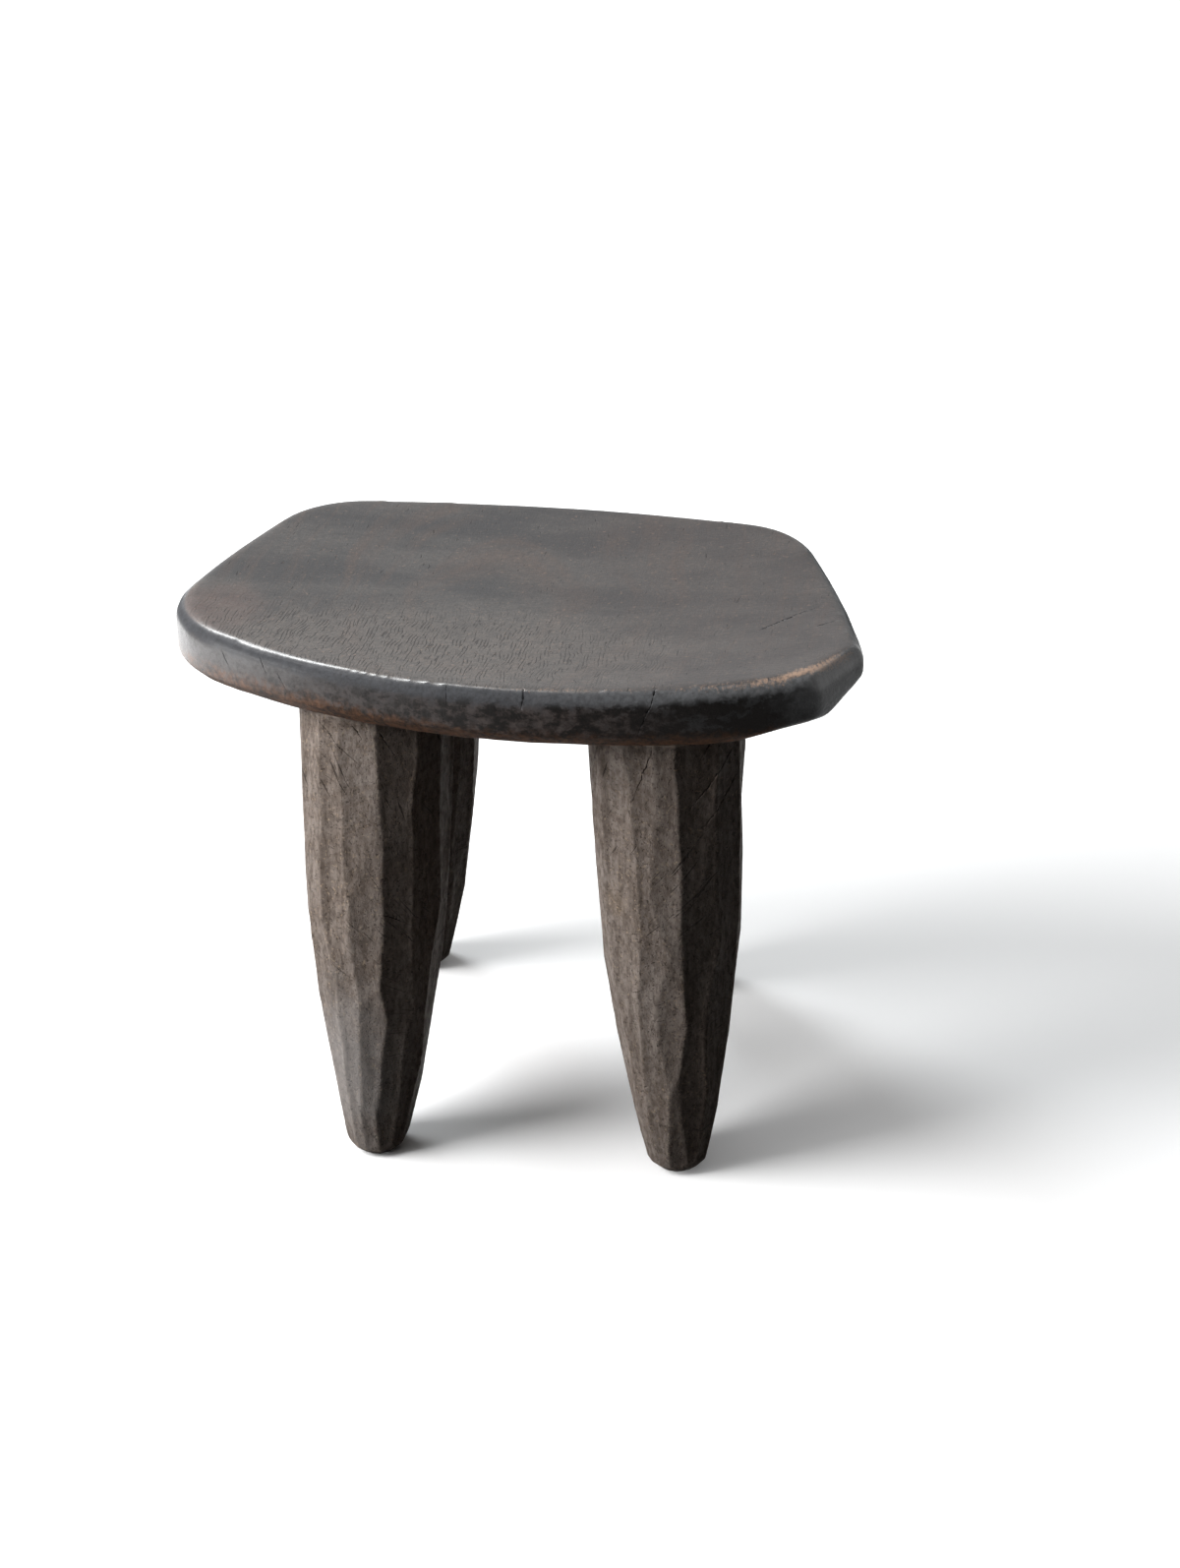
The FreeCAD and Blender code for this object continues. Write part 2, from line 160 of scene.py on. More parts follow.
@dataclass(frozen=True)
class Check:
    """A split that the wood opened as it dried.

    Attributes:
        face: the side that it opens on
        route: its points on that side, in millimetres
        width: half its width at the widest, in millimetres
        depth: how deep it goes, in millimetres
    """

    face: Face
    route: tuple[Pair, ...]
    width: float
    depth: float

    TIP: ClassVar[float] = 0.12
    SWELL: ClassVar[float] = 0.7
    STRETCH: ClassVar[float] = 4.0 * MM
    STRAY: ClassVar[float] = 0.7 * MM
    STRAY_LENGTH: ClassVar[float] = 3.7 * MM
    REACH: ClassVar[float] = 4.0 * MM
    FACING: ClassVar[float] = 0.15
    OVERRUN: ClassVar[float] = 0.05
    WELD: ClassVar[float] = 1e-7

    def opening(self, share: float) -> float:
        """How open the split is, from 0 to 1, at a share of its length."""
        along = min(max(share, 0.0), 1.0) ** self.SWELL
        return self.TIP + (1.0 - self.TIP) * math.sin(math.pi * along)

    def ragged(self) -> list[Vector]:
        """Break the route into short stretches that stray a little from side to side.

        Returns:
            the points between them, in metres
        """
        corners = [Vector(pair) * MM for pair in self.route]
        points = [corners[0]]
        for start, end in zip(corners, corners[1:]):
            count = max(1, round((end - start).length / self.STRETCH))
            across = Vector((start.y - end.y, end.x - start.x)).normalized()
            for step in range(1, count + 1):
                point = start.lerp(end, step / count)
                stray = noise.noise(Vector((point.x, point.y, 0.0)) / self.STRAY_LENGTH)
                points.append(point + across * (stray * self.STRAY))
        return points

    def cut(self, bm: bmesh.types.BMesh, layer: bmesh.types.BMLayerItem) -> None:
        """Cut the split into a mesh as a V and mark it.

        Args:
            bm: the piece's mesh
            layer: the float layer that holds the mark
        """
        points = self.ragged()
        low = [min(values) - self.REACH for values in zip(*points)]
        high = [max(values) + self.REACH for values in zip(*points)]
        near = set()
        for face in bm.faces:
            place = self.face.pair(face.calc_center_median())
            beside = all(low[axis] < place[axis] < high[axis] for axis in (0, 1))
            if beside and face.normal.dot(self.face.out) > self.FACING:
                near.add(face)
        lengths = [(end - start).length for start, end in zip(points, points[1:])]
        run = 0.0
        for start, end, length in zip(points, points[1:], lengths):
            shares = (run / sum(lengths), (run + length) / sum(lengths))
            near |= self._cut_stretch(bm, layer, near, (start, end), shares)
            run += length

    def _cut_stretch(self, bm: bmesh.types.BMesh, layer: bmesh.types.BMLayerItem, near: set,
                     ends: tuple[Vector, Vector], shares: Pair) -> set:
        """Cut one straight stretch of the split.

        Args:
            bm: the piece's mesh
            layer: the float layer that holds the mark
            near: the faces round the whole split
            ends: where the stretch starts and ends, as drawing coordinates in metres
            shares: how far along the whole split those ends are

        Returns:
            the faces round this stretch after the cut
        """
        start, end = ends
        along = (end - start).normalized()
        across = Vector((-along.y, along.x))
        length = (end - start).length
        local = set()
        for face in near:
            if face.is_valid:
                offset = self.face.pair(face.calc_center_median()) - start
                beside = abs(offset.dot(across)) < self.REACH
                if beside and -self.REACH < offset.dot(along) < length + self.REACH:
                    local.add(face)
        floor = []
        for side in (-1.0, 1.0, 0.0):
            first = start + across * (side * self.width * MM * self.opening(shares[0]))
            last = end + across * (side * self.width * MM * self.opening(shares[1]))
            lean = (last - first).normalized()
            edges = {edge for face in local for edge in face.edges}
            verts = {vert for face in local for vert in face.verts}
            result = bmesh.ops.bisect_plane(
                bm, geom=[*verts, *edges, *local], dist=self.WELD,
                plane_co=self.face.point(first),
                plane_no=self.face.point(Vector((-lean.y, lean.x))))
            local = {item for item in result["geom"] if isinstance(item, bmesh.types.BMFace)}
            floor = [item for item in result["geom_cut"] if isinstance(item, bmesh.types.BMVert)]
        for vert in floor:
            share = (self.face.pair(vert.co) - start).dot(along) / length
            if -self.OVERRUN <= share <= 1.0 + self.OVERRUN and vert[layer] == 0.0:
                vert[layer] = self.opening(shares[0] + share * (shares[1] - shares[0]))
                vert.co -= vert.normal * (self.depth * MM * vert[layer])
        return local


@dataclass(frozen=True)
class Rub:
    """A stretch of edge that handling has worn.

    Attributes:
        route: its points in millimetres, each with how strongly it is worn there
        reach: how far the wear spreads, in millimetres
    """

    route: tuple[tuple[float, float, float, float], ...]
    reach: float

    def strength(self, places: np.ndarray) -> np.ndarray:
        """How worn each point is.

        Args:
            places: points in metres

        Returns:
            a value from 0 to 1 for each
        """
        worn = np.zeros(len(places), np.float32)
        stops = np.array(self.route, np.float32)
        for start, end in zip(stops, stops[1:]):
            way = (end - start)[:3] * MM
            share = np.clip((places - start[:3] * MM) @ way / (way @ way), 0.0, 1.0)
            away = np.linalg.norm(places - (start[:3] * MM + share[:, None] * way), axis=1)
            here = start[3] + share * (end[3] - start[3])
            worn = np.maximum(worn, here * np.clip(1.0 - away / (self.reach * MM), 0.0, 1.0))
        return worn


class Graph:
    """Adds nodes to a shader tree and wires them up."""

    def __init__(self, tree: bpy.types.NodeTree) -> None:
        """Work on a tree."""
        self.tree = tree

    def wire(self, socket: Socket, value: Value) -> None:
        """Link a socket to another, or set its value.

        Args:
            socket: the socket
            value: the other socket or the value
        """
        if isinstance(value, bpy.types.NodeSocket):
            self.tree.links.new(value, socket)
        elif socket.type == "RGBA":
            socket.default_value = (*value[:3], 1.0)
        else:
            socket.default_value = value

    def add(self, kind: str, inputs: Optional[dict[Any, Value]] = None,
            **settings: Any) -> bpy.types.Node:
        """Add a node.

        Args:
            kind: the node's type
            inputs: values or sockets for its inputs, by name or number
            settings: the node's own properties

        Returns:
            the new node
        """
        node = self.tree.nodes.new(kind)
        for key, value in settings.items():
            setattr(node, key, value)
        for key, value in (inputs or {}).items():
            self.wire(node.inputs[key], value)
        return node

    def math(self, operation: str, *values: Value) -> Socket:
        """Arithmetic on up to three numbers."""
        inputs = dict(enumerate(values))
        return self.add("ShaderNodeMath", inputs, operation=operation).outputs[0]

    def times(self, first: Value, second: Value) -> Socket:
        """The product of two numbers."""
        return self.math("MULTIPLY", first, second)

    def most(self, first: Value, second: Value) -> Socket:
        """The larger of two numbers."""
        return self.math("MAXIMUM", first, second)

    def line(self, value: Value, slope: Value, start: Value) -> Socket:
        """A number times a slope, plus a start."""
        return self.math("MULTIPLY_ADD", value, slope, start)

    def total(self, start: Value, *terms: tuple[Value, Value]) -> Value:
        """Add numbers to a number.

        Args:
            start: the number
            terms: the numbers that are added, each with its weight

        Returns:
            the sum
        """
        for value, weight in terms:
            start = self.line(value, weight, start)
        return start

    def vector(self, operation: str, first: Value, second: Value) -> Socket:
        """Arithmetic on vectors that gives a vector."""
        inputs = {0: first, 1: second}
        return self.add("ShaderNodeVectorMath", inputs, operation=operation).outputs["Vector"]

    def measure(self, operation: str, first: Value, second: Value = (0.0, 0.0, 0.0)) -> Socket:
        """Arithmetic on vectors that gives a number."""
        inputs = {0: first, 1: second}
        return self.add("ShaderNodeVectorMath", inputs, operation=operation).outputs["Value"]

    def parts(self, vector: Value) -> tuple[Socket, Socket, Socket]:
        """The three numbers of a vector."""
        outputs = self.add("ShaderNodeSeparateXYZ", {0: vector}).outputs
        return outputs[0], outputs[1], outputs[2]

    def join(self, first: Value, second: Value, third: Value) -> Socket:
        """A vector from three numbers."""
        return self.add("ShaderNodeCombineXYZ", {0: first, 1: second, 2: third}).outputs[0]

    def step(self, value: Value, low: float, high: float, bottom: float = 0.0,
             top: float = 1.0) -> Socket:
        """A smooth step between two limits.

        Args:
            value: what is compared
            low: where the step starts
            high: where it ends
            bottom: the result before it
            top: the result after it

        Returns:
            the stepped value
        """
        inputs = {"Value": value, "From Min": low, "From Max": high,
                  "To Min": bottom, "To Max": top}
        node = self.add("ShaderNodeMapRange", inputs, interpolation_type="SMOOTHSTEP")
        return node.outputs["Result"]

    def noise(self, place: Value, scale: float, detail: float = 2.0, rough: float = 0.5) -> Socket:
        """Soft noise around 0.5.

        Args:
            place: where it is read
            scale: features to a metre
            detail: octaves
            rough: weight of the finer octaves

        Returns:
            the noise value
        """
        inputs = {"Vector": place, "Scale": scale, "Detail": detail, "Roughness": rough}
        return self.add("ShaderNodeTexNoise", inputs).outputs["Fac"]

    def mix(self, share: Value, first: Value, second: Value) -> Socket:
        """Mix two colours.

        Args:
            share: how much of the second
            first: the first colour
            second: the second colour

        Returns:
            the mixed colour
        """
        inputs = {0: share, 6: first, 7: second}
        return self.add("ShaderNodeMix", inputs, data_type="RGBA").outputs[2]

    def coats(self, colour: Value, *coats: tuple[Value, Value, Value]) -> Value:
        """Lay colours over a colour.

        Args:
            colour: the colour underneath
            coats: for each coat, where it lies, how thick it is there and its colour

        Returns:
            the colour on top
        """
        for place, strength, coat in coats:
            colour = self.mix(self.times(place, strength), colour, coat)
        return colour

    def group(self, tree: bpy.types.NodeTree, **inputs: Value) -> bpy.types.NodeOutputs:
        """Place a node group and give its outputs."""
        return self.add("ShaderNodeGroup", inputs, node_tree=tree).outputs


@dataclass(frozen=True)
class Cloud:
    """A pattern of soft patches.

    Attributes:
        scale: patches to a metre
        detail: octaves
        rough: weight of the finer octaves
        low: the noise at which a patch starts
        high: the noise at which it is full
        stretch: how much closer the patches lie along each axis
    """

    scale: float
    detail: float
    rough: float
    low: float
    high: float
    stretch: Triple = (1.0, 1.0, 1.0)

    def draw(self, graph: Graph, point: Value) -> Socket:
        """Draw the pattern.

        Args:
            graph: the graph that it is drawn in
            point: where it is read

        Returns:
            a mask from 0 to 1
        """
        place = graph.vector("MULTIPLY", point, self.stretch)
        level = graph.noise(place, self.scale, self.detail, self.rough)
        return graph.step(level, self.low, self.high)


@dataclass(frozen=True)
class Spot:
    """A ragged place on the surface.

    Attributes:
        centre: its middle, in metres
        reach: how far it goes along each axis, in metres
    """

    centre: Triple
    reach: Triple


class Effects:
    """The shader effects that the wood finishes share, each built once as a node group."""

    PITH: ClassVar[Triple] = (0.0, 0.0, 0.075)
    RINGS: ClassVar[Triple] = (260.0, 7.0, 0.0)
    PORES: ClassVar[Triple] = (720.0, 85.0, 720.0)
    RIPPLES: ClassVar[float] = 3300.0
    RIPPLE_DRIFTS: ClassVar[float] = 26.0
    RIPPLE_DRIFT: ClassVar[float] = 26.0
    RIPPLED: ClassVar[Cloud] = Cloud(1.0, 2.0, 0.5, 0.44, 0.6, (330.0, 95.0, 330.0))
    HAIRS: ClassVar[Triple] = (105.0, 30.0, 30.0)
    CRACKED: ClassVar[Cloud] = Cloud(24.0, 2.0, 0.5, 0.42, 0.62)
    CLOUDS: ClassVar[Cloud] = Cloud(17.0, 5.0, 0.6, 0.34, 0.66)
    GRIME: ClassVar[Cloud] = Cloud(240.0, 6.0, 0.72, 0.4, 0.64)
    FLECKS: ClassVar[Cloud] = Cloud(520.0, 3.0, 0.65, 0.57, 0.72)
    WORN_GRAIN: ClassVar[Triple] = (1.0, 0.45, 1.0)

    def __init__(self) -> None:
        """Build the groups."""
        self.figure = self._build("growth_figure", self._figure)
        self.pores = self._build("open_pores", self._pores, Amount="Float")
        self.ripples = self._build("rippled_grain", self._ripples)
        self.hairs = self._build("hairline_checks", self._hairs, Amount="Float")
        self.patina = self._build("patina", self._patina, Stretch="Vector")
        self.rubbed = self._build("rubbed_edge", self._rubbed, Worn="Float")
        self.patch = self._build("local_patch", self._patch, Centre="Vector", Reach="Vector")

    @staticmethod
    def _build(name: str, draw: Callable[[Graph, Entry], dict[str, Socket]],
               **inputs: str) -> bpy.types.NodeTree:
        """Build a group that is drawn at a point.

        Args:
            name: the group's name
            draw: the method that draws it: from its graph and its inputs, the outputs by name
            inputs: its inputs besides the point, and whether each is Vector or Float

        Returns:
            the group
        """
        tree = bpy.data.node_groups.new(name, "ShaderNodeTree")
        for title, kind in {"Point": "Vector", **inputs}.items():
            tree.interface.new_socket(title, in_out="INPUT", socket_type=f"NodeSocket{kind}")
        graph = Graph(tree)
        results = draw(graph, graph.add("NodeGroupInput").outputs)
        for title in results:
            tree.interface.new_socket(title, in_out="OUTPUT", socket_type="NodeSocketFloat")
        graph.add("NodeGroupOutput", results)
        return tree

    @staticmethod
    def _swayed(graph: Graph, point: Socket, scale: float, sway: Triple) -> Socket:
        """Let straight grain wander.

        Args:
            graph: the graph that it is drawn in
            point: a point of the grain
            scale: bends to a metre
            sway: how far the grain wanders along each axis, in metres

        Returns:
            the point, moved a little by noise
        """
        inputs = {"Vector": point, "Scale": scale, "Detail": 1.0}
        drift = graph.add("ShaderNodeTexNoise", inputs).outputs["Color"]
        return graph.vector("ADD", point, graph.vector("MULTIPLY", drift, sway))

    def _figure(self, graph: Graph, entry: Entry) -> dict[str, Socket]:
        """Draw growth rings round the pith, which runs front to back under the seat.

        Args:
            graph: the group's graph
            entry: the group's inputs

        Returns:
            the light and dark bands
        """
        place = self._swayed(graph, entry["Point"], 9.0, (0.016, 0.0, 0.016))
        section = graph.vector("MULTIPLY", place, (1.0, 0.0, 1.0))
        radius = graph.measure("DISTANCE", section, self.PITH)
        lane = graph.join(radius, graph.parts(entry["Point"])[1], 0.0)
        lane = graph.vector("MULTIPLY", lane, self.RINGS)
        return {"Bands": graph.noise(lane, 1.0, 3.0, 0.6)}

    def _pores(self, graph: Graph, entry: Entry) -> dict[str, Socket]:
        """Draw open pores: wavy lines front to back, which end as dots on the wood's front.

        Args:
            graph: the group's graph
            entry: the group's inputs

        Returns:
            the pores
        """
        place = self._swayed(graph, entry["Point"], 42.0, (0.007, 0.0, 0.007))
        line = graph.noise(graph.vector("MULTIPLY", place, self.PORES), 1.0, 2.0, 0.55)
        limit = graph.line(entry["Amount"], 0.24, 0.26)
        return {"Pores": graph.step(graph.math("SUBTRACT", limit, line), 0.0, 0.1)}

    def _ripples(self, graph: Graph, entry: Entry) -> dict[str, Socket]:
        """Draw rippled grain: fine wavy lines front to back, side by side and broken up.

        Args:
            graph: the group's graph
            entry: the group's inputs

        Returns:
            the lines
        """
        place = self._swayed(graph, entry["Point"], 55.0, (0.005, 0.0, 0.0))
        drift = graph.noise(entry["Point"], self.RIPPLE_DRIFTS)
        across = graph.times(graph.parts(place)[0], self.RIPPLES)
        wave = graph.math("SINE", graph.line(drift, self.RIPPLE_DRIFT, across))
        broken = self.RIPPLED.draw(graph, place)
        return {"Lines": graph.times(graph.step(wave, 0.1, 0.95), broken)}

    def _hairs(self, graph: Graph, entry: Entry) -> dict[str, Socket]:
        """Draw fine drying cracks, which run outwards from the pith.

        Args:
            graph: the group's graph
            entry: the group's inputs

        Returns:
            the cracks
        """
        place = self._swayed(graph, entry["Point"], 30.0, (0.004, 0.0, 0.004))
        across, along, up = graph.parts(place)
        rise = graph.math("SUBTRACT", up, self.PITH[2])
        angle = graph.math("ARCTAN2", across, rise)
        radius = graph.measure("LENGTH", graph.join(across, 0.0, rise))
        lane = graph.vector("MULTIPLY", graph.join(angle, radius, along), self.HAIRS)
        here = graph.times(self.CRACKED.draw(graph, entry["Point"]), entry["Amount"])
        level = graph.line(here, 0.12, graph.noise(lane, 1.0))
        return {"Hairs": graph.step(level, 0.75, 0.8)}

    def _patina(self, graph: Graph, entry: Entry) -> dict[str, Socket]:
        """Draw what handling and smoke have left.

        Args:
            graph: the group's graph
            entry: the group's inputs

        Returns:
            cloudy marks, grime and flecks
        """
        place = graph.vector("MULTIPLY", entry["Point"], entry["Stretch"])
        return {"Clouds": self.CLOUDS.draw(graph, place),
                "Grime": self.GRIME.draw(graph, place),
                "Flecks": self.FLECKS.draw(graph, entry["Point"])}

    def _rubbed(self, graph: Graph, entry: Entry) -> dict[str, Socket]:
        """Break up wear, so that only the high spots of the grain are bare.

        Args:
            graph: the group's graph
            entry: the group's inputs

        Returns:
            the bare spots
        """
        drawn = graph.vector("MULTIPLY", entry["Point"], self.WORN_GRAIN)
        level = graph.line(entry["Worn"], 0.62, graph.noise(drawn, 640.0, 5.0, 0.75))
        return {"Bare": graph.step(level, 0.76, 1.06)}

    def _patch(self, graph: Graph, entry: Entry) -> dict[str, Socket]:
        """Draw a ragged place on the surface.

        Args:
            graph: the group's graph
            entry: the group's inputs

        Returns:
            the inside of the place
        """
        offset = graph.vector("SUBTRACT", entry["Point"], entry["Centre"])
        away = graph.measure("LENGTH", graph.vector("DIVIDE", offset, entry["Reach"]))
        ragged = graph.line(graph.noise(entry["Point"], 70.0, 4.0, 0.65), 0.9, away)
        return {"Inside": graph.step(ragged, 0.7, 1.5, 1.0, 0.0)}


@dataclass(frozen=True)
class Finish:
    """A wood finish: its colours and how it shines.

    Attributes:
        name: the material's name
        body: the colour of most of the wood
        shade: the colour of the darker clouds
        warm: the colour where brown shows through
        bare: the colour of rubbed edges
        gloss: roughness of the polished parts
        dull: roughness of the rest
        shine: how strongly it reflects
    """

    name: str
    body: Triple
    shade: Triple
    warm: Triple
    bare: Triple
    gloss: float
    dull: float
    shine: float

    SPLIT: ClassVar[Triple] = (0.004, 0.003, 0.003)
    PATINA: ClassVar[Triple] = (1.0, 1.0, 1.0)
    RISE: ClassVar[float] = 0.25 * MM


class Surface(Graph):
    """The graph of a wood material, with what is read at each place on the piece.

    Attributes:
        point: the place
        across: how far right it is
        height: how high it is
        figure: the growth rings' bands
        clouds: cloudy handling marks, from 0 to 1
        grime: grime, from 0 to 1
        flecks: flecks, from 0 to 1
    """

    def __init__(self, finish: Finish, effects: Effects) -> None:
        """Begin a material.

        Args:
            finish: its finish
            effects: the shared node groups
        """
        self.material = bpy.data.materials.new(finish.name)
        super().__init__(empty_tree(self.material))
        self.effects = effects
        self.shader = self.add("ShaderNodeBsdfPrincipled", {"Specular IOR Level": finish.shine})
        self.add("ShaderNodeOutputMaterial", {"Surface": self.shader.outputs["BSDF"]})
        self.point = self.add("ShaderNodeTexCoord").outputs["Object"]
        self.across, _, self.height = self.parts(self.point)
        self.figure = self.effect(effects.figure)["Bands"]
        patina = self.effect(effects.patina, Stretch=finish.PATINA)
        self.clouds, self.grime = patina["Clouds"], patina["Grime"]
        self.flecks = patina["Flecks"]

    def effect(self, tree: bpy.types.NodeTree, **inputs: Value) -> bpy.types.NodeOutputs:
        """A shared effect's outputs at the place."""
        return self.group(tree, Point=self.point, **inputs)

    def cloud(self, cloud: Cloud) -> Socket:
        """A pattern of soft patches, from 0 to 1."""
        return cloud.draw(self, self.point)

    def spot(self, spot: Spot) -> Socket:
        """A ragged place, from 0 to 1."""
        return self.effect(self.effects.patch, Centre=spot.centre, Reach=spot.reach)["Inside"]

    def rubbed(self, worn: Value) -> Socket:
        """The bare spots of worn wood, from 0 to 1."""
        return self.effect(self.effects.rubbed, Worn=worn)["Bare"]

    def fibre(self, lines: Triple, detail: float, rough: float) -> Socket:
        """Drawn-out grain, with so many lines to a metre along each axis."""
        return self.noise(self.vector("MULTIPLY", self.point, lines), 1.0, detail, rough)

    def mark(self, name: str) -> Socket:
        """A mark that the piece's mesh carries."""
        return self.add("ShaderNodeAttribute", attribute_name=name).outputs["Fac"]

    def close(self, colour: Value, rough: Value, relief: Value, rise: float) -> bpy.types.Material:
        """Wire up the shader.

        Args:
            colour: the surface's colour
            rough: its roughness
            relief: its fine relief
            rise: how tall a relief of 1 is, in metres

        Returns:
            the finished material
        """
        bump = self.add("ShaderNodeBump", {"Strength": 1.0, "Distance": rise, "Height": relief})
        self.wire(self.shader.inputs["Base Color"], colour)
        self.wire(self.shader.inputs["Roughness"], rough)
        self.wire(self.shader.inputs["Normal"], bump.outputs["Normal"])
        return self.material


class SeatSurface(Surface):
    """The graph of the seat's material, with masks from 0 to 1 of the seat's own places.

    Attributes:
        upward: how far the surface looks up, from -1 to 1
        hollow: the dished top
        corner: the struck corner
        handled: the left end, where hands have rubbed it to a gloss
        dense: the open-pored place in the hollow
        pores: pores and grain lines in the hollow
        blotch: soft patches
        speckle: finer patches
    """

    BLOTCH: ClassVar[Cloud] = Cloud(125.0, 6.0, 0.7, 0.42, 0.6, (1.0, 1.0, 1.5))
    SPECKLE: ClassVar[Cloud] = Cloud(430.0, 5.0, 0.62, 0.32, 0.72, (1.0, 1.0, 0.7))
    CORNER: ClassVar[Spot] = Spot((0.174, -0.09, 0.288), (0.045, 0.044, 0.04))
    DENSE: ClassVar[Spot] = Spot((-0.05, -0.075, 0.288), (0.19, 0.085, 0.08))
    HOLLOW_SLOPE: ClassVar[Limits] = (0.86, 0.97)
    HANDLED_SLOPE: ClassVar[Limits] = (0.7, 0.1)
    HANDLED_ACROSS: ClassVar[Limits] = (-0.06, -0.16)
    HANDLED_HEIGHT: ClassVar[Limits] = (0.267, 0.272)

    def __init__(self, finish: Finish, effects: Effects) -> None:
        """Begin the material and draw the masks.

        Args:
            finish: the seat's finish
            effects: the shared node groups
        """
        super().__init__(finish, effects)
        self.upward = self.parts(self.add("ShaderNodeNewGeometry").outputs["Normal"])[2]
        self.hollow = self.step(self.upward, *self.HOLLOW_SLOPE)
        self.corner = self.spot(self.CORNER)
        handled = self.times(self.step(self.across, *self.HANDLED_ACROSS),
                             self.step(self.upward, *self.HANDLED_SLOPE))
        self.handled = self.times(handled, self.step(self.height, *self.HANDLED_HEIGHT))
        self.dense = self.spot(self.DENSE)
        pores = self.effect(effects.pores, Amount=self.line(self.dense, 0.2, 0.35))["Pores"]
        lines = self.times(self.effect(effects.ripples)["Lines"], self.dense)
        self.pores = self.times(self.most(pores, lines), self.hollow)
        self.blotch = self.cloud(self.BLOTCH)
        self.speckle = self.cloud(self.SPECKLE)


@dataclass(frozen=True)
class SeatFinish(Finish):
    """Hand-rubbed seat: grey-brown hollow, a glossy black rim that takes a painted reflection
    towards the right, sooty sides with painted light towards the left end, and a brown lower lip.

    Attributes:
        red: the colour of the reddish place at the left end
        rim: the colour of the glossy rim at the left
        far_rim_with_painted_reflection: the colour of the rim towards the right: its own dark grey
            with a painted reflection, lighter and bluer
        side: the colour of the sooty sides
        lip: the colour of the lower lip and the underside
        grey: the lighter colour that the sides take towards the left end, where the light falls on
            them: painted light
        dry: the colour of the open-pored place in the hollow
        scraped: the colour of the patches on the sides where the soot has worn thin
        brown: the colour that the hollow takes towards the right
    """

    red: Triple = (0.15, 0.078, 0.062)
    rim: Triple = (0.046, 0.048, 0.053)
    far_rim_with_painted_reflection: Triple = (0.125, 0.127, 0.131)
    side: Triple = (0.006, 0.005, 0.0045)
    lip: Triple = (0.118, 0.06, 0.035)
    grey: Triple = (0.092, 0.087, 0.086)
    dry: Triple = (0.14, 0.121, 0.108)
    scraped: Triple = (0.068, 0.053, 0.048)
    brown: Triple = (0.055, 0.041, 0.037)

    SOOT_ROUGHNESS: ClassVar[float] = 0.7
    COAT_ROUGHNESS: ClassVar[float] = 0.25
    HOLLOW_COAT: ClassVar[float] = 0.45
    PATINA: ClassVar[Triple] = (0.7, 1.7, 1.0)
    FIBRE: ClassVar[Triple] = (900.0, 90.0, 900.0)
    RED: ClassVar[Spot] = Spot((-0.155, -0.045, 0.292), (0.035, 0.045, 0.03))
    BANDS: ClassVar[Limits] = (0.45, 0.75)
    BROWN_ACROSS: ClassVar[Limits] = (-0.04, 0.1)
    WORN_SLOPE: ClassVar[Limits] = (0.55, 0.85, 0.0, 0.3)
    WORN_ACROSS: ClassVar[Limits] = (-0.05, 0.02)
    WORN_HEIGHT: ClassVar[Limits] = (0.274, 0.268)
    LIP_RISE: ClassVar[Limits] = (-0.12, 0.02, 0.0, 0.006)
    LIP_HEIGHT: ClassVar[Limits] = (0.281, 0.272)
    RIM_SLOPE: ClassVar[Limits] = (0.1, 0.72)
    FAR_ACROSS: ClassVar[Limits] = (-0.02, 0.16)
    SCRAPED_ACROSS: ClassVar[Limits] = (0.13, 0.02)
    GREY_ACROSS: ClassVar[Limits] = (0.06, -0.15)
    CREST_SLOPE: ClassVar[Limits] = (0.74, 0.88)
    CREST_ACROSS: ClassVar[Limits] = (0.15, 0.05, 0.2, 1.0)
    CORNER_SLOPE: ClassVar[Limits] = (0.1, 0.5, 0.25, 0.9)
    FLAT_SLOPE: ClassVar[Limits] = (0.93, 0.98)

    def make(self, effects: Effects) -> bpy.types.Material:
        """Build the material.

        Args:
            effects: the shared node groups

        Returns:
            the seat's material
        """
        wood = SeatSurface(self, effects)
        upper = wood.times(wood.step(wood.upward, *self.WORN_SLOPE),
                           wood.step(wood.across, *self.WORN_ACROSS))
        edge = wood.line(wood.step(wood.height, *self.WORN_HEIGHT), 0.5, upper)
        bare = wood.rubbed(wood.most(wood.mark("rub"), wood.times(wood.mark("ridge"), edge)))
        colour = wood.coats(
            self._outside(wood),
            (wood.hollow, 1.0, self._inside(wood)),
            (bare, 0.65, self.bare),
            (wood.mark("check"), 1.0, self.SPLIT))
        rough = wood.total(
            wood.step(wood.handled, 0.0, 1.0, self.SOOT_ROUGHNESS, self.gloss),
            (wood.hollow, self.dull - self.SOOT_ROUGHNESS), (wood.clouds, -0.08), (bare, 0.15))
        relief = wood.total(
            wood.times(wood.fibre(self.FIBRE, 3.0, 0.6), 0.4),
            (wood.pores, -0.6), (wood.grime, 0.3))
        wood.wire(wood.shader.inputs["Coat Weight"], self._polish(wood))
        wood.wire(wood.shader.inputs["Coat Roughness"], self.COAT_ROUGHNESS)
        return wood.close(colour, rough, relief, self.RISE)

    def _inside(self, wood: SeatSurface) -> Value:
        """Colour the hollow.

        Args:
            wood: the seat's graph

        Returns:
            the colour
        """
        return wood.coats(
            self.shade,
            (wood.clouds, 1.0, self.body),
            (wood.step(wood.figure, *self.BANDS), 0.5, self.warm),
            (wood.step(wood.across, *self.BROWN_ACROSS), 0.38, self.brown),
            (wood.spot(self.RED), wood.line(wood.speckle, 0.6, 0.1), self.red),
            (wood.dense, 0.55, self.dry),
            (wood.speckle, 0.6, self.shade),
            (wood.pores, 0.7, self.SPLIT),
            (wood.times(wood.flecks, wood.grime), 0.3, self.bare))

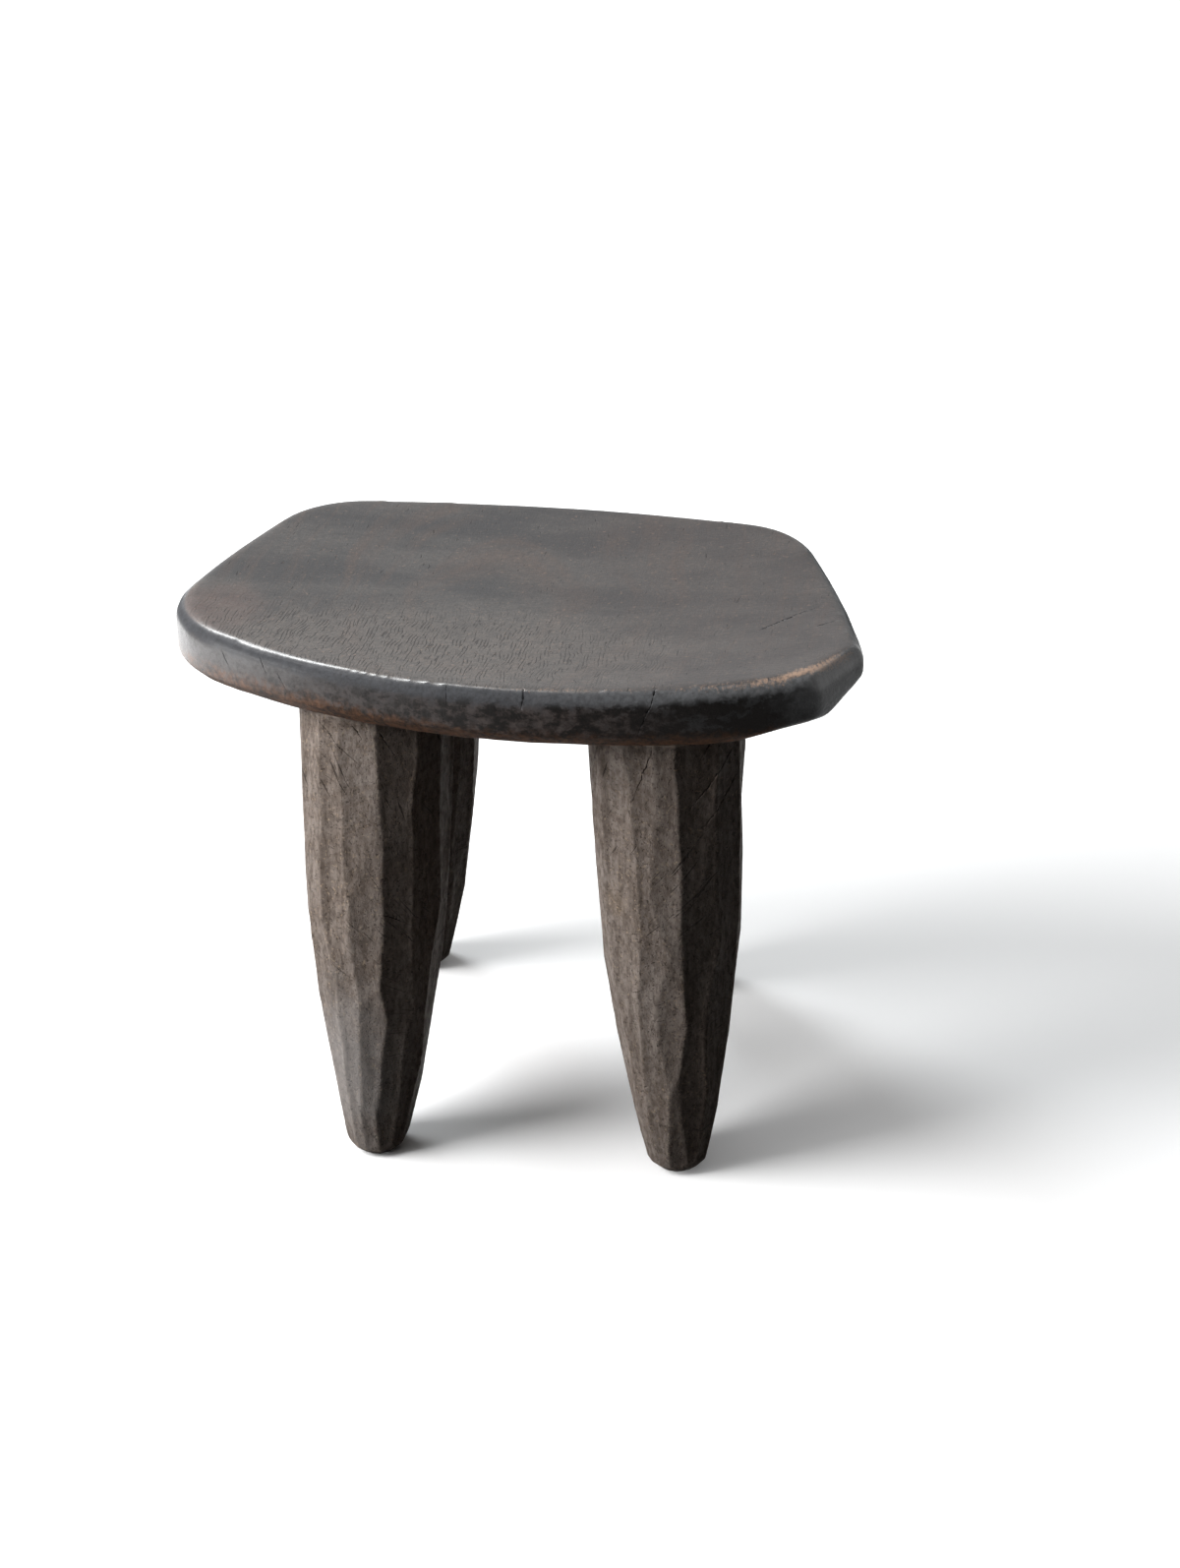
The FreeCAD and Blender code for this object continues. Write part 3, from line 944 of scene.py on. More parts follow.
    def _outside(self, wood: SeatSurface) -> Value:
        """Colour the rim, the sides and the lower lip.

        Args:
            wood: the seat's graph

        Returns:
            the colour
        """
        level = wood.math("ADD", wood.height, wood.step(wood.across, *self.LIP_RISE))
        low = wood.step(wood.line(wood.grime, 0.004, level), *self.LIP_HEIGHT)
        rim = wood.step(wood.line(wood.blotch, 0.3, wood.upward), *self.RIM_SLOPE)
        # Towards the right, the rim and the struck corner take a lighter, bluer colour: a painted
        # reflection over the rim's own dark grey.
        rim_and_painted_reflection = wood.coats(
            self.rim,
            (wood.step(wood.across, *self.FAR_ACROSS), 1.0, self.far_rim_with_painted_reflection),
            (wood.speckle, 0.45, self.side))
        scraped = wood.times(wood.blotch, wood.step(wood.across, *self.SCRAPED_ACROSS))
        # Painted light: the sooty sides turn a lighter grey towards the left end, where the light
        # falls on them.
        grey = wood.times(wood.step(wood.across, *self.GREY_ACROSS),
                          wood.line(wood.speckle, 0.5, 0.45))
        brown = wood.line(wood.blotch, 0.45, wood.times(wood.speckle, 0.6))
        return wood.coats(
            self.side,
            (scraped, wood.line(wood.grime, 0.7, 0.45), self.scraped),
            (grey, wood.line(wood.blotch, 0.3, 0.75), self.grey),
            (wood.most(rim, wood.corner), 0.9, rim_and_painted_reflection),
            (low, 1.0, wood.mix(brown, self.side, self.lip)))

    def _polish(self, wood: SeatSurface) -> Socket:
        """Polish the rim, the handled end, the struck corner and, less, the hollow.

        Args:
            wood: the seat's graph

        Returns:
            the weight of the polish
        """
        crest = wood.times(wood.step(wood.upward, *self.CREST_SLOPE),
                           wood.step(wood.across, *self.CREST_ACROSS))
        crest = wood.times(crest, wood.line(wood.speckle, -0.5, 1.15))
        corner = wood.times(wood.corner, wood.step(wood.upward, *self.CORNER_SLOPE))
        coat = wood.most(wood.times(crest, 0.9), wood.times(wood.handled, 0.7))
        coat = wood.most(coat, corner)
        flat = wood.step(wood.upward, *self.FLAT_SLOPE)
        return wood.line(flat, wood.math("SUBTRACT", self.HOLLOW_COAT, coat), coat)


@dataclass(frozen=True)
class LegFinish(Finish):
    """Hewn legs: grey-brown, darker at the foot, with pale ridges, painted shade in the dips beside
    them, hairline cracks and flecks.

    Attributes:
        fleck: the colour of the pale flecks of the end grain
        dust_and_bounce_light: the colour of the pale, dusty patch low on the front left leg,
            lightened further by painted light bounced up from the floor
    """

    fleck: Triple = (0.34, 0.26, 0.185)
    dust_and_bounce_light: Triple = (0.3, 0.29, 0.285)

    RISE: ClassVar[float] = 0.45 * MM
    PATINA: ClassVar[Triple] = (1.7, 1.7, 0.7)
    FIBRE: ClassVar[Triple] = (700.0, 110.0, 700.0)
    PORES: ClassVar[float] = 0.6
    STREAKS: ClassVar[Cloud] = Cloud(1.0, 4.0, 0.6, 0.47, 0.64, (150.0, 150.0, 13.0))
    BLOTCH: ClassVar[Cloud] = Cloud(75.0, 6.0, 0.7, 0.48, 0.64, (1.6, 1.6, 0.8))
    DUST_AND_BOUNCE_LIGHT: ClassVar[Spot] = Spot((-0.088, -0.12, 0.055), (0.04, 0.04, 0.075))
    SCUFF: ClassVar[Spot] = Spot((0.062, -0.114, 0.17), (0.009, 0.02, 0.013))
    BANDS: ClassVar[Limits] = (0.45, 0.65)
    CRACKED_RIGHT: ClassVar[Limits] = (0.08, 0.105, 0.45, 1.0)
    CRACKED_LEFT: ClassVar[Limits] = (0.02, -0.04)
    CRACKED_HEIGHT: ClassVar[Limits] = (0.1, 0.2, 0.9, 1.35)
    FOOT_HEIGHT: ClassVar[Limits] = (0.05, 0.0)

    def make(self, effects: Effects) -> bpy.types.Material:
        """Build the material.

        Args:
            effects: the shared node groups

        Returns:
            the legs' material
        """
        wood = Surface(self, effects)
        pores = wood.effect(effects.pores, Amount=self.PORES)["Pores"]
        cracked = wood.most(wood.step(wood.across, *self.CRACKED_RIGHT),
                            wood.step(wood.across, *self.CRACKED_LEFT))
        cracked = wood.times(cracked, wood.step(wood.height, *self.CRACKED_HEIGHT))
        hairs = wood.effect(effects.hairs, Amount=cracked)["Hairs"]
        colour = wood.coats(
            self.body,
            (wood.clouds, 0.35, self.warm),
            (wood.step(wood.figure, *self.BANDS), 0.3, self.warm),
            (wood.grime, 0.5, self.shade),
            (wood.cloud(self.STREAKS), 0.35, self.shade),
            (wood.cloud(self.BLOTCH), 0.28, self.shade),
            (pores, 0.45, self.SPLIT),
            (wood.flecks, wood.line(wood.clouds, 0.4, 0.3), self.fleck),
            (wood.spot(self.SCUFF), wood.line(wood.flecks, 0.5, 0.12), self.fleck),
            # A pale, dusty patch low on the front left leg, lightened further by painted light
            # bounced up from the floor.
            (wood.spot(self.DUST_AND_BOUNCE_LIGHT), 0.45, self.dust_and_bounce_light),
            (wood.step(wood.height, *self.FOOT_HEIGHT), 0.2, self.shade),
            (wood.rubbed(wood.times(wood.mark("ridge"), 0.9)), 0.6, self.bare),
            # Painted shade: the dips beside the ridges are darkened with the shade colour.
            (wood.mark("dip"), 0.85, self.shade),
            (hairs, 0.6, self.SPLIT),
            (wood.mark("check"), 1.0, self.SPLIT))
        rough = wood.step(wood.grime, 0.0, 1.0, self.gloss, self.dull)
        relief = wood.total(
            wood.times(wood.fibre(self.FIBRE, 4.0, 0.65), 0.6),
            (pores, -0.5), (wood.grime, -0.2), (hairs, -0.8))
        return wood.close(colour, rough, relief, self.RISE)


class Net:
    """The points of a mesh with their neighbours."""

    def __init__(self, mesh: bpy.types.Mesh) -> None:
        """Read a mesh.

        Args:
            mesh: the mesh
        """
        self.places = self._read(mesh.vertices, "co", len(mesh.vertices))
        self.normals = self._read(mesh.vertex_normals, "vector", len(mesh.vertices))
        pairs = np.empty(len(mesh.edges) * 2, np.int32)
        mesh.edges.foreach_get("vertices", pairs)
        self._pairs = pairs.reshape(-1, 2)
        self._count = np.bincount(pairs, minlength=len(mesh.vertices)).astype(np.float32)

    @staticmethod
    def _read(source: Any, name: str, count: int) -> np.ndarray:
        """Read vectors.

        Args:
            source: the collection that holds them
            name: the property that is read
            count: how many there are

        Returns:
            rows of three
        """
        flat = np.empty(count * 3, np.float32)
        source.foreach_get(name, flat)
        return flat.reshape(-1, 3)

    def around(self, values: np.ndarray) -> np.ndarray:
        """Take the mean over each point's neighbours.

        Args:
            values: a value or a row for each point

        Returns:
            the means
        """
        total = np.zeros_like(values)
        np.add.at(total, self._pairs[:, 0], values[self._pairs[:, 1]])
        np.add.at(total, self._pairs[:, 1], values[self._pairs[:, 0]])
        return (total.T / self._count).T

    def spread(self, values: np.ndarray, rounds: int) -> np.ndarray:
        """Blur values over their neighbours.

        Args:
            values: a value for each point
            rounds: how often they are blurred

        Returns:
            the blurred values
        """
        for _ in range(rounds):
            values = 0.5 * values + 0.5 * self.around(values)
        return values

    def stand(self, full: float) -> np.ndarray:
        """How far each point stands out from its neighbours.

        Args:
            full: the distance that counts as 1, in metres

        Returns:
            a value for each point, above 0 on ridges and below 0 in dips
        """
        return ((self.places - self.around(self.places)) * self.normals).sum(axis=1) / full

    def write(self, mesh: bpy.types.Mesh) -> None:
        """Move the mesh's points to where they are here."""
        mesh.vertices.foreach_set("co", self.places.ravel())
        mesh.update()


@dataclass
class HewnPiece:
    """A piece of carved wood that stands for a CAD node.

    Attributes:
        node: the CAD node
        material: its finish
        voxel: the size of its mesh's squares, in metres
        soften: rounds of smoothing, which wear its edges round
        scoop: the length, breadth and height of a tool mark, in metres
        bite: the depth of a tool mark, in metres
        swell: the depth of the broad unevenness, in metres
        checks: its splits
        rubs: its worn stretches of edge
    """

    node: str
    material: bpy.types.Material
    voxel: float
    soften: int
    scoop: Triple
    bite: float
    swell: float
    checks: tuple[Check, ...] = ()
    rubs: tuple[Rub, ...] = ()

    WELD: ClassVar[float] = 0.01 * MM
    SMOOTHING: ClassVar[float] = 0.5
    SWELL_SCALE: ClassVar[float] = 0.37
    RIDGE_FULL: ClassVar[float] = 0.07
    RIDGE_SPREAD: ClassVar[int] = 2

    def build(self, frame: dict[str, Any]) -> None:
        """Model the piece and set it in the frame.
        """
        piece = self.even_copy(frame["nodes"][self.node])
        self.wear_round(piece.data)
        self.hew(piece.data)
        self.mark_edges(piece.data)
        self.open_checks(piece.data)
        self.dress(piece)

    def prepare(self, bm: bmesh.types.BMesh) -> None:
        """Change the copied form before it is remeshed. The plain piece keeps it."""

    def even_copy(self, source: bpy.types.Object) -> bpy.types.Object:
        """Copy the CAD node's form as one closed mesh of even squares.

        Args:
            source: the CAD node's object

        Returns:
            a new object at the origin
        """
        mesh = bpy.data.meshes.new(f"{self.node}_form")
        with changing(mesh) as bm:
            bm.from_mesh(source.data)
            bmesh.ops.remove_doubles(bm, verts=bm.verts, dist=self.WELD)
            self.prepare(bm)
        piece = put(f"{self.node}_wood", mesh)
        modifier = piece.modifiers.new("even_squares", "REMESH")
        modifier.mode = "VOXEL"
        modifier.voxel_size = self.voxel
        graph = bpy.context.evaluated_depsgraph_get()
        piece.data = bpy.data.meshes.new_from_object(piece.evaluated_get(graph))
        piece.modifiers.clear()
        return piece

    def wear_round(self, mesh: bpy.types.Mesh) -> None:
        """Round the edges as use has.

        Args:
            mesh: the piece's mesh
        """
        with changing(mesh) as bm:
            for _ in range(self.soften):
                bmesh.ops.smooth_vert(bm, verts=bm.verts, factor=self.SMOOTHING,
                                      use_axis_x=True, use_axis_y=True, use_axis_z=True)

    def hew(self, mesh: bpy.types.Mesh) -> None:
        """Take shallow scoops and broad unevenness out of the surface, always inwards.

        Args:
            mesh: the piece's mesh
        """
        net = Net(mesh)
        depth = np.empty(len(net.places), np.float32)
        for index, spot in enumerate(net.places / np.array(self.scoop, np.float32)):
            spot = Vector(spot)
            scoop = max(0.0, 1.0 - noise.voronoi(spot)[0][0])
            uneven = 0.5 + 0.5 * noise.noise(spot * self.SWELL_SCALE)
            depth[index] = self.bite * scoop + self.swell * uneven
        net.places -= net.normals * (depth * self.reach(net.normals))[:, None]
        net.write(mesh)

    def reach(self, normals: np.ndarray) -> np.ndarray:
        """How much of the tool's bite each point takes.

        Args:
            normals: the mesh's normals

        Returns:
            a factor for each point
        """
        return np.ones(len(normals), np.float32)

    def mark_edges(self, mesh: bpy.types.Mesh) -> None:
        """Mark ridges, dips and worn stretches.

        Args:
            mesh: the piece's mesh
        """
        net = Net(mesh)
        stand = net.spread(net.stand(self.voxel * self.RIDGE_FULL), self.RIDGE_SPREAD)
        worn = np.zeros(len(net.places), np.float32)
        for rub in self.rubs:
            worn = np.maximum(worn, rub.strength(net.places))
        for name, values in (("ridge", stand), ("dip", -stand), ("rub", worn)):
            layer = mesh.attributes.new(name, "FLOAT", "POINT")
            layer.data.foreach_set("value", np.clip(values, 0.0, 1.0).astype(np.float32))

    def open_checks(self, mesh: bpy.types.Mesh) -> None:
        """Cut the splits.

        Args:
            mesh: the piece's mesh
        """
        with changing(mesh) as bm:
            bm.normal_update()
            layer = bm.verts.layers.float.new("check")
            for check in self.checks:
                check.cut(bm, layer)

    def dress(self, piece: bpy.types.Object) -> None:
        """Give the piece its finish and its place in the frame.

        Args:
            piece: the modelled piece
        """
        piece.data.materials.clear()
        piece.data.materials.append(self.material)
        piece.data.shade_smooth()
        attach(piece, BODY)
        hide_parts(self.node)
        LOG.info("%s: %d faces", piece.name, len(piece.data.polygons))


@dataclass
class Seat(HewnPiece):
    """The dished seat board, smooth in the hollow and rougher under it."""

    WORN_ROUNDS: ClassVar[int] = 16
    WORN_SPAN: ClassVar[Pair] = (-110.0 * MM, 40.0 * MM)
    WORN_SHARES: ClassVar[Pair] = (0.5, 0.25)
    WORN_HEIGHTS: ClassVar[Pair] = (276.0 * MM, 284.0 * MM)
    CORNER_SPAN: ClassVar[Pair] = (110.0 * MM, 150.0 * MM)
    CORNER_SHARES: ClassVar[Pair] = (0.0, 0.5)
    SLOPES: ClassVar[tuple[float, ...]] = (-0.9, 0.0, 0.5, 0.9)
    BITES: ClassVar[tuple[float, ...]] = (1.0, 0.8, 0.5, 0.12)

    def wear_round(self, mesh: bpy.types.Mesh) -> None:
        """Round the edges, most of all the upper edge at both ends, where it is picked up.

        Args:
            mesh: the seat's mesh
        """
        super().wear_round(mesh)
        net = Net(mesh)
        worn = np.interp(net.places[:, 0], self.WORN_SPAN, self.WORN_SHARES)
        worn *= np.interp(net.places[:, 2], self.WORN_HEIGHTS, (0.0, 1.0))
        corner = np.interp(net.places[:, 0], self.CORNER_SPAN, self.CORNER_SHARES)
        worn = np.maximum(worn, corner).astype(np.float32)
        for _ in range(self.WORN_ROUNDS):
            net.places += (net.around(net.places) - net.places) * worn[:, None]
        net.write(mesh)

    def reach(self, normals: np.ndarray) -> np.ndarray:
        """Full tool marks on the underside, some on the sides and hardly any in the hollow."""
        return np.interp(normals[:, 2], self.SLOPES, self.BITES).astype(np.float32)


@dataclass
class Leg(HewnPiece):
    """A leg with adze facets. Its shoulder runs a little into the seat, so that no gap shows."""

    SINK: ClassVar[float] = 1.5 * MM
    SHOULDER_PLAY: ClassVar[float] = 0.1 * MM
    SWAY: ClassVar[float] = math.radians(4.0)
    SWAY_LENGTH: ClassVar[float] = 32.0 * MM
    SWAY_ROUND: ClassVar[float] = 1.6
    SWAY_APART: ClassVar[float] = 100.0
    HOLLOW: ClassVar[float] = 0.45 * MM
    HOLLOW_SPREAD: ClassVar[int] = 24
    RIDGE_GAIN: ClassVar[float] = 4.0
    FLAT_SLOPES: ClassVar[Pair] = (-0.95, -0.6)

    def prepare(self, bm: bmesh.types.BMesh) -> None:
        """Raise the shoulder and the tenon into the seat.

        Args:
            bm: the leg's mesh
        """
        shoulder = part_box("seat")[0].z
        high = [vert for vert in bm.verts if vert.co.z > shoulder - self.SHOULDER_PLAY]
        bmesh.ops.translate(bm, verts=high, vec=(0.0, 0.0, self.SINK))

    def hew(self, mesh: bpy.types.Mesh) -> None:
        """Hollow the facets between their ridges, let the ridges wander, then take the scoops.

        Args:
            mesh: the leg's mesh
        """
        net = Net(mesh)
        ridges = np.clip(net.stand(self.voxel * self.RIDGE_FULL), 0.0, 1.0)
        near = np.clip(net.spread(ridges, self.HOLLOW_SPREAD) * self.RIDGE_GAIN, 0.0, 1.0)
        depth = self.HOLLOW * (1.0 - near) * self.reach(net.normals)
        net.places -= net.normals * depth[:, None]
        height = net.places[:, 2]
        axis = [np.polyval(np.polyfit(height, net.places[:, side], 1), height) for side in (0, 1)]
        arm_x = net.places[:, 0] - axis[0]
        arm_y = net.places[:, 1] - axis[1]
        apart = Vector((axis[0][0], axis[1][0], 0.0)) * self.SWAY_APART
        turn = np.empty(len(height), np.float32)
        for index, (way, level) in enumerate(zip(np.arctan2(arm_y, arm_x), height)):
            spot = Vector((self.SWAY_ROUND * math.cos(way), self.SWAY_ROUND * math.sin(way),
                           level / self.SWAY_LENGTH))
            turn[index] = self.SWAY * noise.noise(spot + apart)
        net.places[:, 0] = axis[0] + arm_x * np.cos(turn) - arm_y * np.sin(turn)
        net.places[:, 1] = axis[1] + arm_x * np.sin(turn) + arm_y * np.cos(turn)
        net.write(mesh)
        super().hew(mesh)

    def reach(self, normals: np.ndarray) -> np.ndarray:
        """Full tool marks, but none on the flat that stands on the floor."""
        return np.interp(normals[:, 2], self.FLAT_SLOPES, (0.0, 1.0)).astype(np.float32)


@dataclass(frozen=True)
class Lamp:
    """A soft round lamp.

    Attributes:
        name: its name
        direction: where it stands, seen from the stool
        size: its width, in metres
        power: its power, in watts
        tint: its colour
    """

    name: str
    direction: Triple
    size: float
    power: float
    tint: Triple = (1.0, 1.0, 1.0)

    DISTANCE: ClassVar[float] = 2.0
    AIM: ClassVar[Triple] = (0.0, 0.0, 0.2)

    def hang(self) -> None:
        """Put the lamp in the scene, turned towards the stool."""
        light = bpy.data.lights.new(self.name, "AREA")
        light.shape = "DISK"
        light.size = self.size
        light.energy = self.power
        light.color = self.tint
        lamp = put(self.name, light)
        way = Vector(self.direction).normalized()
        lamp.location = Vector(self.AIM) + way * self.DISTANCE
        lamp.rotation_euler = way.to_track_quat("Z", "Y").to_euler()


@dataclass(frozen=True)
class Glow:
    """A soft patch of light in the room round the stool.

    Attributes:
        direction: where its middle is, seen from the stool
        low: the cosine of the angle from its middle at which it starts
        high: the cosine of the angle at which it is full
        dim: the strength round it
        bright: the strength in it
    """

    direction: Triple
    low: float
    high: float
    dim: float
    bright: float

    def draw(self, graph: Graph, way: Socket) -> Socket:
        """The strength of the light that comes from each way."""
        near = graph.measure("DOT_PRODUCT", way, self.direction)
        return graph.step(near, self.low, self.high, self.dim, self.bright)


@dataclass(frozen=True)
class Studio:
    """The floor, the light and the camera.

    Attributes:
        floor_radius: how far the floor goes, in metres
        backdrop_height: how high the low backdrop round it stands, in metres
        lamps: the soft lamps
        camera_place: where the camera stands, in metres
        camera_forward: the way that it looks
        camera_up: its upward direction
        focal_pixels: its focal length in pixels of the photograph
    """

    floor_radius: float = 40.0
    backdrop_height: float = 3.2
    lamps: tuple[Lamp, ...] = (
        Lamp("key", (-0.75, -0.27, 0.60), 1.2, 68.0),
        Lamp("crest", (-0.43, 0.47, 0.77), 0.6, 21.0, (0.94, 0.98, 1.0)),
        Lamp("low_fill", (-0.85, -0.48, 0.20), 1.2, 21.0),
    )
    camera_place: Triple = (0.20082, -1.18797, 0.79038)
    camera_forward: Triple = (-0.12394, 0.88188, -0.45489)
    camera_up: Triple = (-0.04775, 0.45259, 0.89044)
    focal_pixels: float = 2500.0

    PHOTO_HEIGHT: ClassVar[float] = 1594.0
    SENSOR: ClassVar[float] = 36.0
    FLOOR_SIDES: ClassVar[int] = 96
    FLOOR_SHOWN: ClassVar[Triple] = (0.85, 0.85, 0.85)
    FLOOR_BOUNCE: ClassVar[Triple] = (0.035, 0.035, 0.035)
    SHADOW: ClassVar[Triple] = (-0.1, -0.08, 0.0)
    GLOW_NEAR: ClassVar[Limits] = (0.05, 0.3, 0.0, 0.21)
    GLOW_FAR: ClassVar[Limits] = (0.45, 1.4, 0.0, 0.85)
    WHITE: ClassVar[Triple] = (1.0, 1.0, 1.0)
    ABOVE: ClassVar[Glow] = Glow((-0.54, -0.25, 0.80), 0.52, 0.97, 0.003, 0.39)
    BEHIND: ClassVar[Glow] = Glow((-0.28, 0.80, 0.53), 0.56, 0.95, 0.0, 0.6)
    BESIDE: ClassVar[Glow] = Glow((0.82, 0.33, 0.47), 0.5, 0.92, 0.0, 1.0)
    CREST: ClassVar[Glow] = Glow((-0.43, 0.47, 0.77), 0.955, 0.985, 0.0, 5.0)

    def build(self) -> None:
        """Set up the whole studio."""
        bpy.context.scene.view_settings.view_transform = "Standard"
        self.floor()
        self.world()
        for lamp in self.lamps:
            lamp.hang()
        self.camera()

    def floor(self) -> None:
        """A pale floor that keeps the stool's shadow, with a low pale backdrop far round it."""
        mesh = bpy.data.meshes.new("floor")
        with changing(mesh) as bm:
            bmesh.ops.create_circle(
                bm, cap_ends=True, segments=self.FLOOR_SIDES, radius=self.floor_radius)
            border = [edge for edge in bm.edges if edge.is_boundary]
            rim = bmesh.ops.extrude_edge_only(bm, edges=border)
            raised = [item for item in rim["geom"] if isinstance(item, bmesh.types.BMVert)]
            bmesh.ops.translate(bm, verts=raised, vec=(0.0, 0.0, self.backdrop_height))
        mesh.materials.append(self.floor_material())
        floor = put("floor", mesh)

    def floor_material(self) -> bpy.types.Material:
        """White where it is looked at, apart from the shadow, which a painted glow lifts more the
        farther it lies from a point left of the front, and dim where it bounces light.

        Returns:
            the floor's material
        """
        material = bpy.data.materials.new("pale_floor")
        graph = Graph(empty_tree(material))
        place = graph.add("ShaderNodeTexCoord").outputs["Object"]
        # Painted light: near the stool the floor glows more the farther it lies from the SHADOW
        # point, which lightens its shadow towards the right.
        near = graph.step(graph.measure("DISTANCE", place, self.SHADOW), *self.GLOW_NEAR)
        far = graph.step(graph.measure("LENGTH", place), *self.GLOW_FAR)
        strength = graph.math("ADD", near, far)
        glow = graph.add("ShaderNodeEmission", {"Strength": strength}).outputs[0]
        shown = graph.add("ShaderNodeBsdfDiffuse", {"Color": self.FLOOR_SHOWN}).outputs[0]
        both = graph.add("ShaderNodeAddShader", {0: shown, 1: glow}).outputs[0]
        bounce = graph.add("ShaderNodeBsdfDiffuse", {"Color": self.FLOOR_BOUNCE}).outputs[0]
        path = graph.add("ShaderNodeLightPath").outputs
        seen = graph.most(path["Is Camera Ray"], path["Is Glossy Ray"])
        seen = graph.most(seen, path["Is Transmission Ray"])
        mixed = graph.add("ShaderNodeMixShader", {0: seen, 1: bounce, 2: both}).outputs[0]
        graph.add("ShaderNodeOutputMaterial", {"Surface": mixed})
        return material

    def world(self) -> None:
        """Soft light from above and from behind. Two more patches are only mirrored."""
        world = bpy.data.worlds.new("studio")
        bpy.context.scene.world = world
        graph = Graph(empty_tree(world))
        way = graph.add("ShaderNodeTexCoord").outputs["Generated"]
        path = graph.add("ShaderNodeLightPath").outputs
        light = graph.math("ADD", self.ABOVE.draw(graph, way), self.BEHIND.draw(graph, way))
        mirrored = graph.math("ADD", self.BESIDE.draw(graph, way), self.CREST.draw(graph, way))
        strength = graph.line(path["Is Glossy Ray"], mirrored, light)
        strength = graph.most(strength, path["Is Camera Ray"])
        sky = graph.add("ShaderNodeBackground", {"Color": self.WHITE, "Strength": strength})
        graph.add("ShaderNodeOutputWorld", {"Surface": sky.outputs[0]})

    def camera(self) -> None:
        """The photograph's camera."""
        lens = bpy.data.cameras.new("camera")
        lens.sensor_width = self.SENSOR
        lens.lens = self.focal_pixels / self.PHOTO_HEIGHT * self.SENSOR
        camera = put("camera", lens)
        forward = Vector(self.camera_forward).normalized()
        right = forward.cross(Vector(self.camera_up)).normalized()
        up = right.cross(forward)
        turn = Matrix((right, up, -forward)).transposed()
        camera.matrix_world = Matrix.Translation(self.camera_place) @ turn.to_4x4()
        bpy.context.scene.camera = camera


SEAT_CHECKS = (
    Check(Face.TOP, ((128.0, -36.0), (137.0, -25.0), (146.0, -16.0), (156.0, -8.0)), 0.8, 2.6),
    Check(Face.TOP, ((156.0, -35.5), (161.0, -31.0), (167.0, -27.5)), 0.5, 1.8),
    Check(Face.TOP, ((126.5, -95.0), (133.5, -93.0)), 0.2, 0.8),
    Check(Face.FRONT, ((-19.0, 292.0), (-18.5, 286.0), (-18.0, 280.0)), 0.15, 0.8),
    Check(Face.FRONT, ((19.5, 292.0), (20.0, 288.0), (19.0, 284.0)), 0.2, 0.8),
    Check(Face.FRONT, ((83.5, 294.0), (82.0, 287.5), (78.5, 279.0), (75.0, 270.0)), 0.45, 1.8),
    Check(Face.FRONT, ((-142.5, 286.5), (-137.5, 277.5)), 0.3, 1.2),
    Check(Face.FRONT, ((-119.0, 287.5), (-115.5, 280.5)), 0.3, 1.2),
    Check(Face.FRONT, ((-108.0, 281.0), (-105.0, 276.0)), 0.3, 1.2),
)

SEAT_RUBS = (
    Rub(((84.0, -122.0, 293.5, 0.4), (117.7, -116.1, 294.2, 0.6), (140.8, -109.1, 295.7, 0.8),
         (161.3, -92.7, 296.5, 1.0), (172.5, -74.3, 293.6, 0.75), (178.4, -62.1, 293.7, 0.3)), 8.0),
    Rub(((-45.0, -117.0, 291.0, 0.2), (20.0, -124.0, 291.0, 0.55), (84.0, -122.0, 293.5, 0.5)),
        4.0),
)

